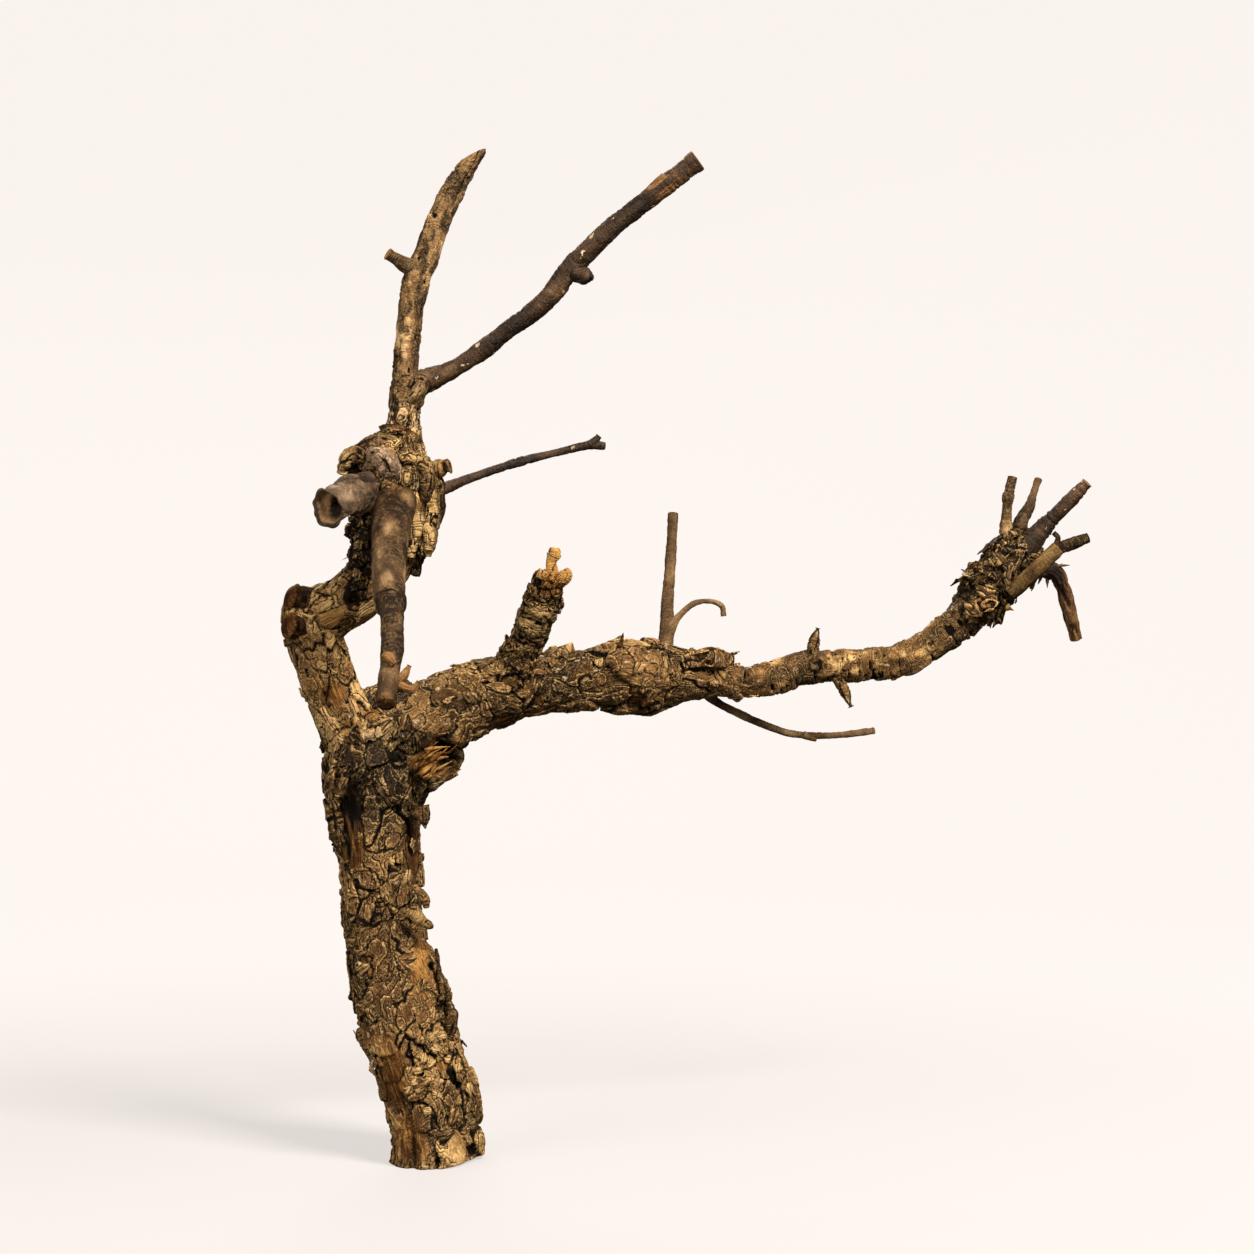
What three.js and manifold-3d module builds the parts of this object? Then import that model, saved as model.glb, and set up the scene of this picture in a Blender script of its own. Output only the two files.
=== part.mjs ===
// A piece of driftwood: a flaking branch that stands on its sawn foot, with a long arm to the right,
// a crooked limb to the left, and the shoots, stubs and twigs that grow from them.
// Millimetres, +Z up, +X to the right, -Y towards the viewer. The origin is the middle of the sawn foot.

import * as THREE from "three";
import { mergeVertices } from "three/addons/utils/BufferGeometryUtils.js";
import Module from "manifold-3d";

const wasm = await Module();
wasm.setup();

// Driving dimensions
const FOOT_RADIUS = 14.5; // the sawn foot, side to side
const FOOT_DEPTH = 1.2; // the trunk is deeper than it is wide by this much
const ARM_DEPTH = 0.88; // the arm is a little flatter than it is tall
const FORK_GAP = 0.35; // clearance left where one limb grows from another
const FOOT_SKEW = 0.3; // the left of the trunk comes forward by this share of its width
const BELOW_FOOT = 4; // wood that is sawn away under the foot
const GROUND = 100; // the block of ground that the foot is sawn level with

// Bark of the thick wood
const THIN_WOOD = 5; // radius up to which the bark is smooth
const THICK_WOOD = 10; // radius from which the bark has its full relief
const LUMP = 17; // size of the broad lumps
const LUMP_RISE = 0.9; // how far a lump stands up
const PLATE_STEP = 1.96; // from the lowest plate to the highest
const PLATE_TILT = 1.1; // how far a plate's edges stand up or lie low
const PLATE_SWIRL = 0.3; // how far the plates are pushed out of shape, as a share of their size
const SWIRL_SIZE = 0.8; // how wide one such push is, as a share of a plate
const LAYER_RISE = 0.76; // how far the layers of a plate stand up
const FALLEN = 0.08; // share of the plates that have fallen off, where the bark is oldest
const FALLEN_LIMB = 0.05; // the same on the crooked limb; its burl keeps all of its plates
const FALLEN_DEPTH = 1.4; // how deep the wood lies where a plate has fallen off
const SUNK = 0.57; // how far the middle of the bark lies inside the limb's radius

// Routes of the limbs: each point is [x, y, z, radius]
const TRUNK = [
  [0.5, 0, -BELOW_FOOT, FOOT_RADIUS],
  [-1, 0, 5.5, FOOT_RADIUS],
  [-3, 0, 17.5, FOOT_RADIUS - 0.2],
  [-6.8, 0, 30, FOOT_RADIUS - 0.4],
  [-10.5, 0, 42, FOOT_RADIUS + 0.2],
  [-13.2, 0, 54.5, FOOT_RADIUS - 0.7],
  [-16, 0, 66.5, FOOT_RADIUS - 1.8],
  [-17.6, 1, 84.5, FOOT_RADIUS - 1.9],
  [-18.5, 2, 101.5, FOOT_RADIUS - 1.5],
  [-18.5, 3, 111.5, FOOT_RADIUS + 1],
  [-17.5, 3, 121.5, FOOT_RADIUS + 1],
  [-15.5, 3, 133, FOOT_RADIUS - 3.5],
];
const CROOKED_LOWER = [
  [-20.5, 2, 118.5, 12],
  [-27, -1, 131.5, 10],
  [-32.5, -3, 142.5, 8.6],
  [-36, -5, 153, 8.9],
  [-38.5, -6, 161.5, 9],
  [-39.5, -6.5, 168, 8],
  [-39.5, -6.5, 172, 5],
];
const CROOKED_UPPER = [
  [-42, -6, 163.5, 6.5],
  [-36, -7, 165.5, 8.8],
  [-28, -9, 170, 8.9],
  [-19, -10, 177.5, 9.4],
  [-14.5, -10, 188.5, 11],
];
const BURL = [
  [-16, -10, 181.5, 8],
  [-14.5, -10, 191.5, 12.3],
  [-14, -10, 203, 14.3],
  [-13.5, -9, 212.5, 12],
  [-11.5, -8, 220.5, 7],
];
const SIDE_STUB = [
  [-14, -13, 203.5, 6.6],
  [-23.5, -28, 201.3, 5.6],
  [-29, -40, 198, 5.4],
];
const FRONT_BRANCH = [
  [-12.5, -12, 204.5, 6],
  [-11.2, -42, 187, 5.5],
  [-9.3, -66, 173, 5],
  [-7.5, -76, 166.5, 3.7],
  [-6, -90, 156, 3.1],
  [-6, -107.5, 142.2, 2.5],
];
const UPRIGHT_SHOOT = [
  [-10.5, -8, 211.5, 5.8],
  [-10, -7, 223.5, 5],
  [-10, -6, 234.5, 4.4],
  [-9.5, -5, 245, 3.8],
  [-8.5, -4, 257.5, 3.7],
  [-6.5, -3, 269, 4.1],
  [-4, -2, 275, 4],
  [-0.5, 0, 285.5, 3.7],
  [4, 2, 296, 3.7],
  [9.7, 4, 304, 3.1],
  [14.7, 5, 310, 0.9],
];
const SLANTING_SHOOT = [
  [-9, -6, 234.5, 3.8],
  [-4, -6, 237, 3.7],
  [2.5, -7, 239.5, 2.9],
  [11.5, -9, 244.5, 2.9],
  [21.5, -11, 252, 2.9],
  [33, -13, 260.5, 3],
  [41.5, -15, 271, 3.2],
  [51, -17, 280, 3],
  [61.5, -19, 288.5, 3],
  [79.5, -22, 302, 3],
];
const BACK_TWIG = [
  [-6, -2, 201.5, 2.2],
  [1.5, 8, 205.5, 1.7],
  [11.5, 16, 210, 1.4],
  [24, 22, 214.5, 1.3],
  [36.5, 27, 218, 1.2],
  [46.5, 30, 220.5, 1.5],
  [51, 31, 220, 1],
];
const RIGHT_ARM = [
  [-17, 2, 126.5, 15],
  [-6, 3, 132, 13.8],
  [6.5, 5, 138.5, 11.8],
  [20, 8, 142.5, 11],
  [32, 11, 144.5, 10.2],
  [44.5, 15, 146, 10.4],
  [55.5, 18, 147, 11.6],
  [65.5, 22, 146.5, 11.8],
  [76, 25, 146.5, 9.2],
  [84.5, 28, 145.5, 6.7],
  [95, 31, 145, 5.3],
  [106.5, 34, 147, 5.3],
  [114.5, 36, 149.5, 5.6],
  [124.5, 38, 150, 5.1],
  [144, 42, 151.2, 5.3],
  [151.3, 43, 153.8, 5.5],
  [160, 45, 159.7, 5.8],
  [167, 46, 165.7, 6.1],
  [173.5, 47, 173, 8.2],
  [180, 47, 181.5, 9.6],
  [184.5, 47, 188, 8],
  [187, 47, 193, 4.5],
];
const BROKEN_STUB = [
  [17, 7, 138.5, 7],
  [22, 4, 147.5, 6.8],
  [25.6, 0, 156.5, 6.5],
  [28.5, -4, 164.5, 6.2],
  [30.5, -7, 172, 6.1],
  [32.5, -10, 179.5, 5.2],
];
const STANDING_TWIG = [
  [69, 26, 152, 2.8],
  [70, 30, 159.5, 2.4],
  [70.5, 34, 171, 2],
  [71.5, 38, 184, 1.8],
  [72.5, 42, 199.5, 1.6],
];
const CURLED_TWIG = [
  [70, 29, 157, 1.6],
  [71.8, 30, 162.5, 1.4],
  [74.4, 31, 166.2, 1.1],
  [79.1, 33, 170, 1],
  [84.5, 36, 170.5, 0.95],
  [88, 38, 169, 0.95],
  [88.5, 38, 165.5, 1.1],
];
const DROOPING_TWIG = [
  [80, 32, 144, 1.7],
  [86, 38, 138.5, 1.4],
  [93.5, 42, 134.5, 1.3],
  [102.5, 46, 130.5, 1.2],
  [112, 49, 127.5, 1.1],
  [125.5, 52, 127, 1.05],
  [139, 55, 128.5, 1],
];
const LEFT_FINGER = [
  [180.5, 46, 187.5, 2.6],
  [180.5, 47, 199, 1.9],
  [181.5, 48, 204.5, 1.8],
  [183, 49, 211.5, 1.5],
];
const MIDDLE_FINGER = [
  [185, 48, 189.5, 3],
  [186, 50, 199.5, 2.3],
  [189.5, 53, 206, 1.6],
  [193.5, 56, 211, 1],
];
const RIGHT_FINGER = [
  [186, 45, 187.5, 4.4],
  [193, 43, 195.8, 2.9],
  [199, 40, 202.2, 2.7],
  [205.3, 37, 208.8, 2.1],
];
const PEELED_STICK = [
  [179.5, 37.5, 172, 2.5],
  [188.5, 35.5, 180.5, 3],
  [195.5, 35, 187.5, 2.9],
  [196.5, 35, 188.1, 2.1],
  [205.5, 36, 191, 1.8],
];
const HANGING_TWIG = [
  [186, 46, 181.5, 3],
  [195.5, 47.5, 180.5, 2.8],
  [199.3, 49, 176, 2.3],
  [201.7, 51, 167.5, 2],
  [204.5, 53, 158, 1.6],
];

// Large odd numbers that mix a cell's place into a number with no pattern
const MIX = [374761393, 668265263, 1440662683];
const MIX_SALT = 974711;
const MIX_START = 12345;
const MIX_TWICE = [1274126177, 2246822519];
const MIX_KEPT = 0xffffff;

// Steps between the numbers that keep the patterns of one limb apart from each other
const SALT = { finer: 31, swirl: [0, 7, 14], plates: 5, own: 16, layers: 40, lumps: 70 };
const FINER_STRENGTH = 0.55; // a finer layer of noise is this much as strong as the one before

/** A number from 0 to 1 that is always the same for the same cell of space. */
function chance(cell, salt) {
  const sum = Math.imul(cell.x, MIX[0]) + Math.imul(cell.y, MIX[1]) + Math.imul(cell.z, MIX[2]);
  let mixed = (sum + salt * MIX_SALT + MIX_START) >>> 0;
  mixed = Math.imul(mixed ^ (mixed >>> 13), MIX_TWICE[0]) >>> 0;
  mixed = Math.imul(mixed ^ (mixed >>> 15), MIX_TWICE[1]) >>> 0;
  return ((mixed ^ (mixed >>> 16)) & MIX_KEPT) / MIX_KEPT;
}

/** Soft noise from -1 to 1: a chance at each corner of a cube of that size, blended by eased shares. */
function noise(place, size, salt) {
  const scaled = place.clone().divideScalar(size);
  const corner = scaled.clone().floor();
  const [x, y, z] = scaled.sub(corner).toArray().map((share) => THREE.MathUtils.smootherstep(share, 0, 1));
  let total = 0;
  for (let step = 0; step < 8; step++) {
    const side = new THREE.Vector3(step & 1, (step >> 1) & 1, step >> 2);
    const weight = (side.x ? x : 1 - x) * (side.y ? y : 1 - y) * (side.z ? z : 1 - z);
    total += weight * chance(side.add(corner), salt);
  }
  return 2 * total - 1;
}

/** Noise plus the same again at half the size and a bit over half the strength. */
function layeredNoise(place, size, salt) {
  return noise(place, size, salt) + FINER_STRENGTH * noise(place, size / 2, salt + SALT.finer);
}

/** The bark plate that a place lies on: its cell, and how far from its middle the place is, in plates. */
function plateAt(place, plate, salt) {
  const scaled = place.clone().divideScalar(plate);
  const home = scaled.clone().floor();
  let found = { distance: Infinity };
  for (let step = 0; step < 27; step++) {
    const cell = new THREE.Vector3(step % 3, Math.floor(step / 3) % 3, Math.floor(step / 9))
      .subScalar(1)
      .add(home);
    const within = [0, 1, 2].map((axis) => chance(cell, salt + axis));
    const middle = new THREE.Vector3(...within).add(cell);
    const offset = scaled.clone().sub(middle);
    if (offset.length() < found.distance) {
      found = { cell, offset, distance: offset.length() };
    }
  }
  return found;
}

/**
 * Bark relief in mm at a place on the straightened limb: broad lumps, then plates that each have their own
 * height and tilt and a few layers. Some plates have fallen off.
 */
function barkRelief(straight, { plate, longer, fallen, salt }) {
  const lumps = LUMP_RISE * layeredNoise(straight, LUMP, salt + SALT.lumps);
  const place = straight.clone().multiply(new THREE.Vector3(1, 1, longer));
  const push = SALT.swirl.map((step) => noise(place, SWIRL_SIZE * plate, salt + step));
  place.addScaledVector(new THREE.Vector3(...push), PLATE_SWIRL * plate);
  const { cell, offset } = plateAt(place, plate, salt + SALT.plates);
  const own = [0, 1, 2, 3, 4].map((step) => chance(cell, salt + SALT.own + step));
  if (own[3] < fallen) {
    return lumps - FALLEN_DEPTH;
  }
  const lean = new THREE.Vector3(own[0], own[1], own[2]).multiplyScalar(2).subScalar(1).dot(offset);
  const layers = layeredNoise(place, plate, salt + SALT.layers);
  return lumps + PLATE_STEP * (own[4] - 0.5) + PLATE_TILT * lean + LAYER_RISE * layers - SUNK;
}

/** A closed mesh as a solid that can be joined and cut. */
function solid(geometry) {
  geometry.deleteAttribute("normal");
  geometry.deleteAttribute("uv");
  const merged = mergeVertices(geometry, 1e-4);
  return new wasm.Manifold(
    new wasm.Mesh({
      numProp: 3,
      vertProperties: merged.attributes.position.array,
      triVerts: new Uint32Array(merged.index.array),
    }),
  );
}

const FRONT = new THREE.Vector3(0, -1, 0);

/**
 * A limb along its route: a capped cylinder bent along the curve, as thick as the route says at each ring,
 * with bark raised on it. grow makes it fatter all round, for cutting the limbs that grow from it.
 */
function limb(route, { sides = 8, rings = 10, bark = null, depth = 1, skew = 0, grow = 0 } = {}) {
  const line = route.map(([x, y, z]) => new THREE.Vector3(x, y, z));
  const curve = new THREE.CatmullRomCurve3(line, false, "centripetal");
  const girth = new THREE.SplineCurve(route.map(([, , , radius], i) => new THREE.Vector2(i, radius)));
  const frames = curve.computeFrenetFrames(rings);
  const length = curve.getLength();
  const geometry = new THREE.CylinderGeometry(1, 1, 1, sides, rings);
  const position = geometry.attributes.position;
  const out = new THREE.Vector3();
  for (let i = 0; i < position.count; i++) {
    const ring = Math.round((position.getY(i) + 0.5) * rings);
    const t = curve.getUtoTmapping(ring / rings);
    const radius = girth.getPoint(t).y;
    const middle = curve.getPoint(t);
    out
      .set(0, 0, 0)
      .addScaledVector(frames.normals[ring], position.getX(i))
      .addScaledVector(frames.binormals[ring], -position.getZ(i));
    const ahead = frames.tangents[ring];
    const facing = FRONT.clone().projectOnPlane(ahead).normalize();
    const beside = ahead.clone().cross(facing);
    let raised = 0;
    if (bark) {
      const along = (length * ring) / rings - (bark.start ?? 0);
      const straight = new THREE.Vector3(out.dot(facing) * radius, out.dot(beside) * radius, along);
      const thickness = THREE.MathUtils.smoothstep(radius, THIN_WOOD, THICK_WOOD);
      raised = bark.rough * thickness * barkRelief(straight, bark);
    }
    out.y = out.y * depth + out.x * skew;
    middle.addScaledVector(out, radius + raised + grow);
    position.setXYZ(i, middle.x, middle.y, middle.z);
  }
  return solid(geometry);
}

/** A straight tapering stub from one point to another. */
function taper(from, to, fromRadius, toRadius, grow = 0) {
  const route = [
    [...from, fromRadius],
    [...to, toRadius],
  ];
  return limb(route, { sides: 7, rings: 2, grow });
}

/** The largest body of a solid, so that no loose chip is left where a fork was cut. */
function largest(cut) {
  return cut.decompose().sort((a, b) => b.volume() - a.volume())[0];
}

/** What is left of a limb outside the wood it grows from. */
function grownFrom(child, ...parents) {
  return largest(parents.reduce((left, parent) => left.subtract(parent), child));
}

/** A named mesh of a solid, in its own colour. */
function node(name, body, colour, roughness) {
  const { vertProperties, triVerts } = body.getMesh();
  const geometry = new THREE.BufferGeometry();
  geometry.setAttribute("position", new THREE.BufferAttribute(vertProperties, 3));
  geometry.setIndex(new THREE.BufferAttribute(triVerts, 1));
  geometry.computeVertexNormals();
  const material = new THREE.MeshStandardMaterial({ color: colour, roughness, metalness: 0 });
  const mesh = new THREE.Mesh(geometry, material);
  mesh.name = name;
  return mesh;
}

// Colours of the wood
const ROUGH_BARK = 0x6b4e30;
const SMOOTH_BARK = 0x9a7a55;
const DARK_BARK = 0x4a3526;
const GREY_BARK = 0x7a6448;
const BARE_WOOD = 0x9a764a;

// Trunk, with a strip of loose bark at its upper left, two shards on its right, and its foot sawn flat
const TRUNK_BARK = { plate: 8, longer: 0.8, fallen: FALLEN, salt: 100, rough: 1.1, start: BELOW_FOOT };
const TRUNK_SHAPE = { sides: 25, rings: 34, bark: TRUNK_BARK, depth: FOOT_DEPTH, skew: FOOT_SKEW };

function trunk(grow) {
  const ground = new THREE.BoxGeometry(GROUND, GROUND, GROUND).translate(0, 0, -GROUND / 2);
  const strip = limb(
    [
      [-31.5, -3, 124.5, 3.2],
      [-32, -6, 115.5, 3.2],
      [-31.5, -7, 104.5, 2.8],
      [-30, -6, 95.5, 2.2],
      [-28, -5, 91, 1],
    ],
    { sides: 7, rings: 8, grow },
  );
  const upperShard = taper([-2.5, -2, 46.5], [-1.5, -4, 63.5], 3, 0.6, grow);
  const lowerShard = taper([2.5, -3, 35.5], [2.3, -5, 51.5], 3, 0.8, grow);
  return limb(TRUNK, { ...TRUNK_SHAPE, grow })
    .add(strip)
    .add(upperShard)
    .add(lowerShard)
    .subtract(solid(ground));
}

// Crooked limb: up to the elbow with its two knots, over to the right, and into the burl
function crookedLimb(grow) {
  const shape = { sides: 16, grow };
  const lowerBark = { plate: 8, longer: 0.6, fallen: FALLEN_LIMB, salt: 200, rough: 0.6 };
  const upperBark = { plate: 8, longer: 0.6, fallen: FALLEN_LIMB, salt: 230, rough: 0.6 };
  const burlBark = { plate: 7.5, longer: 0.6, fallen: 0, salt: 260, rough: 1.4 };
  const upperKnot = taper([-38, -9, 168.5], [-46.5, -13, 170], 4.2, 3.4, grow);
  const lowerKnot = taper([-38, -9, 160.5], [-46.5, -14, 162], 4.2, 3.6, grow);
  const flap = limb(
    [
      [-3, -12, 209.5, 3],
      [-1, -15, 201.5, 3.8],
      [-1, -16, 192, 3.4],
      [-4, -15, 183.5, 1.6],
    ],
    { sides: 7, rings: 8, grow },
  );
  const bud = taper([-4, -10, 209.5], [4.5, -12, 211], 3, 1.4, grow);
  return limb(CROOKED_LOWER, { ...shape, rings: 14, bark: lowerBark })
    .add(limb(CROOKED_UPPER, { ...shape, rings: 10, bark: upperBark }))
    .add(limb(BURL, { ...shape, rings: 10, bark: burlBark }))
    .add(upperKnot)
    .add(lowerKnot)
    .add(flap)
    .add(bud);
}

// Right arm, thick at the fork, with a ridge, two short spurs and a knot of bark at its far end
function rightArm(grow) {
  const bark = { plate: 10, longer: 0.9, fallen: FALLEN, salt: 300, rough: 1 };
  const armpit = taper([-14, 2, 112], [1, 4, 127], 7.5, 9.5, grow);
  const crotch = taper([-21, 2, 134], [-9, 3, 139], 8.5, 8.5, grow);
  const upperSpur = taper([116, 36, 149.5], [118, 33, 162], 2.4, 1.2, grow);
  const lowerSpur = taper([124, 37, 148.5], [129, 33, 137], 2.2, 1.2, grow);
  const ridge = taper([70, 20, 153.5], [86, 22, 153], 4.5, 2.6, grow);
  const clump = taper([178, 45, 177.5], [166.5, 42, 179], 5, 1.2, grow);
  const wart = taper([176, 46, 171.5], [173, 38.5, 170], 4.5, 2.6, grow);
  return limb(RIGHT_ARM, { sides: 14, rings: 49, bark, depth: ARM_DEPTH, grow })
    .add(armpit)
    .add(crotch)
    .add(upperSpur)
    .add(lowerSpur)
    .add(ridge)
    .add(clump)
    .add(wart);
}

// Side stub: a short broken branch, hollow at its end
const STUB = { sides: 9, rings: 6 };

function sideStub() {
  const hollow = taper([-25.5, -32.5, 200.2], [-30.4, -43, 197.2], 2.2, 4);
  return limb(SIDE_STUB, STUB).subtract(hollow);
}

// Front branch, with three small curled bud scales near its tip
function frontBranch() {
  const scales = [
    taper([-6, -97, 150.5], [-1, -99, 153.5], 1.8, 0.8),
    taper([-6, -99, 149], [0.5, -101, 147], 1.8, 0.8),
    taper([-6, -97, 150.5], [-6.5, -101.5, 153], 1.8, 0.9),
  ];
  const branch = limb(FRONT_BRANCH, { sides: 9, rings: 12 });
  return scales.reduce((joined, scale) => joined.add(scale), branch);
}

// Upright shoot, cut to a point, with a spur on its left
function uprightShoot(grow) {
  const spur = taper([-5, -3, 270.5], [-15, -8, 275.5], 3.4, 1.6, grow);
  return limb(UPRIGHT_SHOOT, { sides: 8, rings: 18, grow }).add(spur);
}

// Slanting shoot, with one bud half way along it
function slantingShoot() {
  const bud = taper([43, -15, 267.5], [47, -16, 267], 3, 1);
  return limb(SLANTING_SHOOT, { sides: 7, rings: 15 }).add(bud);
}

// Back twig, forked into two nubs at its end
function backTwig() {
  const nub = taper([46, 30, 220.5], [48.5, 30, 223], 1.5, 1);
  return limb(BACK_TWIG, { sides: 6, rings: 12 }).add(nub);
}

// Broken stub, with a torn crown of splinters
const BROKEN_BARK = { plate: 6, longer: 1.5, fallen: FALLEN, salt: 400, rough: 0.9 };
const BROKEN_SHAPE = { sides: 11, rings: 11, bark: BROKEN_BARK };

function brokenStub() {
  const crown = [
    taper([31, -9, 175.5], [35, -9, 187], 3.2, 1.1),
    taper([33, -7, 175.5], [39, -9.5, 179.5], 3, 1.8),
    taper([30, -10, 175.5], [29.5, -13, 181.5], 3, 1.4),
  ];
  return crown.reduce((joined, splinter) => joined.add(splinter), limb(BROKEN_STUB, BROKEN_SHAPE));
}

// Drooping twig, with one bud under it
function droopingTwig() {
  const bud = taper([115, 49.5, 127.3], [119.5, 50, 125.5], 1.1, 0.7);
  return limb(DROOPING_TWIG, { sides: 6, rings: 13 }).add(bud);
}

// The limbs that others grow from, made fatter by the gap at a fork
const TWIG = { sides: 6, rings: 9 };
const STICK = { sides: 8, rings: 10 };
const fat = (route, shape) => limb(route, { ...shape, grow: FORK_GAP });
const fatTrunk = trunk(FORK_GAP);
const fatCrookedLimb = crookedLimb(FORK_GAP);
const fatArm = rightArm(FORK_GAP);
const fatShoot = uprightShoot(FORK_GAP);
const fatStub = fat(SIDE_STUB, STUB);
const fatStanding = fat(STANDING_TWIG, TWIG);
const fatStick = fat(PEELED_STICK, STICK);
const fatLeft = fat(LEFT_FINGER, TWIG);
const fatMiddle = fat(MIDDLE_FINGER, TWIG);
const fatRight = fat(RIGHT_FINGER, TWIG);

const crooked = grownFrom(crookedLimb(0), fatTrunk);
const arm = grownFrom(rightArm(0), fatTrunk, fatCrookedLimb);
const front = grownFrom(frontBranch(), fatCrookedLimb, fatStub);
const curled = grownFrom(limb(CURLED_TWIG, TWIG), fatArm, fatStanding);
const left = grownFrom(limb(LEFT_FINGER, TWIG), fatArm, fatStick);
const middle = grownFrom(limb(MIDDLE_FINGER, TWIG), fatArm, fatStick, fatLeft);
const right = grownFrom(limb(RIGHT_FINGER, TWIG), fatArm, fatStick, fatLeft, fatMiddle);
const hanging = grownFrom(limb(HANGING_TWIG, TWIG), fatArm, fatStick, fatRight);

const driftwood = new THREE.Group();
driftwood.add(
  node("trunk", trunk(0), ROUGH_BARK, 0.85),
  node("crooked_limb", crooked, ROUGH_BARK, 0.85),
  node("right_arm", arm, ROUGH_BARK, 0.85),
  node("broken_stub", grownFrom(brokenStub(), fatArm), ROUGH_BARK, 0.85),
  node("side_stub", grownFrom(sideStub(), fatCrookedLimb), GREY_BARK, 0.8),
  node("front_branch", front, GREY_BARK, 0.75),
  node("upright_shoot", grownFrom(uprightShoot(0), fatCrookedLimb), SMOOTH_BARK, 0.75),
  node("slanting_shoot", grownFrom(slantingShoot(), fatShoot), DARK_BARK, 0.65),
  node("back_twig", grownFrom(backTwig(), fatCrookedLimb), DARK_BARK, 0.7),
  node("standing_twig", grownFrom(limb(STANDING_TWIG, TWIG), fatArm), GREY_BARK, 0.7),
  node("curled_twig", curled, GREY_BARK, 0.7),
  node("drooping_twig", grownFrom(droopingTwig(), fatArm), GREY_BARK, 0.7),
  node("left_finger", left, SMOOTH_BARK, 0.75),
  node("middle_finger", middle, GREY_BARK, 0.75),
  node("right_finger", right, DARK_BARK, 0.7),
  node("peeled_stick", grownFrom(limb(PEELED_STICK, STICK), fatArm), BARE_WOOD, 0.75),
  node("hanging_twig", hanging, DARK_BARK, 0.75),
);

export default driftwood;
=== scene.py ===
# %% [markdown]
# # A piece of driftwood
# The object is one dry branch that stands on its sawn foot. A long arm goes off to the right, a crooked
# limb climbs to the left and ends in a burl, and shoots, stubs and twigs grow from both. What makes it look
# real is its bark: thin plates that overlap, crack and fall off, next to smooth young bark on the shoots.
# The CAD part gives every limb its place. Here each limb is made again as a fine surface, with the bark
# worked out as numbers, so that the shape itself is rough and not only its colour.

# %% Load the CAD part
import bpy
import numpy as np
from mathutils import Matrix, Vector


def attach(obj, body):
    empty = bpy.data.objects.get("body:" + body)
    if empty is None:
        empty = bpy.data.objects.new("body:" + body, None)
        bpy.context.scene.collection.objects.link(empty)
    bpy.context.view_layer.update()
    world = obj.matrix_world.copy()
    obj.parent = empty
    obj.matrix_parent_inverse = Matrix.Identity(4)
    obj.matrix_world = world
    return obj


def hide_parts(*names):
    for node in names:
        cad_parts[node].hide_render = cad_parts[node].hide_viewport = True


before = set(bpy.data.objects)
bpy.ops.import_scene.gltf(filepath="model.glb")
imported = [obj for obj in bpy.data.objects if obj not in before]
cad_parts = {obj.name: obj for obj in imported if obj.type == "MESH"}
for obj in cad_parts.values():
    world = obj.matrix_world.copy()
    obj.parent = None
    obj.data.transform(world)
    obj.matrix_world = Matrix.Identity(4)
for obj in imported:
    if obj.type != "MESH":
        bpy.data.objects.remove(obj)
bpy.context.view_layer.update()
MM = 0.001
print("CAD nodes:", sorted(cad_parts))

# %% [markdown]
# ## Numbers that look like chance
# Bark is irregular, but a script must give the same bark each time it runs. So no random generator is used
# for the surface: a number is worked out from the cell of space that a point lies in. Blender's own textures
# could move the points too, with a Displace modifier, but then the colours couldn't know where a crack is.
# With the pattern in numpy, one function gives both the height and the marks that the colours read.


# %% Random numbers from cells of space
def cell_random(cells, salt):
    """A number from 0 to 1 for each whole-numbered cell: its three numbers times large odd ones, mixed."""
    x, y, z = np.moveaxis(cells.astype(np.int64), -1, 0)
    mixed = (x * 374761393 + y * 668265263 + z * 1440662683 + salt * 974711 + 12345) & 0xFFFFFFFF
    mixed = ((mixed ^ (mixed >> 13)) * 1274126177) & 0xFFFFFFFF
    mixed = ((mixed ^ (mixed >> 15)) * 2246822519) & 0xFFFFFFFF
    return ((mixed ^ (mixed >> 16)) & 0xFFFFFF) / 0xFFFFFF


def noise(points, size, salt=0):
    """Soft noise from -1 to 1: random values at the corners of cubes of that size, blended by eased shares."""
    scaled = points / size
    corner = np.floor(scaled)
    share = scaled - corner
    share = share * share * share * (share * (share * 6 - 15) + 10)
    total = 0
    for step in np.ndindex(2, 2, 2):
        weight = np.prod(np.where(step, share, 1 - share), axis=-1)
        total = total + weight * cell_random(corner + step, salt)
    return 2 * total - 1


def layered_noise(points, size, octaves, salt=0):
    """Noise plus finer and weaker noise: each layer is half as large and a bit over half as strong."""
    return sum(0.55**i * noise(points, size * 0.5**i, salt + 31 * i) for i in range(octaves))


def swirl(points, size, salt=0):
    """Three noises side by side, which push a point a little way in some direction."""
    return np.stack([noise(points, size, salt + 7 * i) for i in range(3)], axis=-1)


def ease(value, low, high):
    """0 below low, 1 above high, and a smooth S between them."""
    share = np.clip((value - low) / (high - low), 0, 1)
    return share * share * (3 - 2 * share)


probe = np.array([[0.2, 1.4, 3.1], [5.0, 2.2, 0.3], [9.1, 4.4, 7.7]])
print("noise at three points:", noise(probe, 2.0).round(3))

# %% [markdown]
# ## A limb as a bent tube
# A limb is a circle carried along a curved line, and the circle's radius changes on the way. A Blender curve
# with a bevel would do that too, but its points couldn't be moved one by one. So the line is a Catmull-Rom
# curve through the measured points, and the skin is a grid: one row for each ring and one column for each
# direction round the limb. Every point also keeps where it would be if the limb were straight, which lets
# the grain run along the wood whatever way the limb bends.


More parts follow.
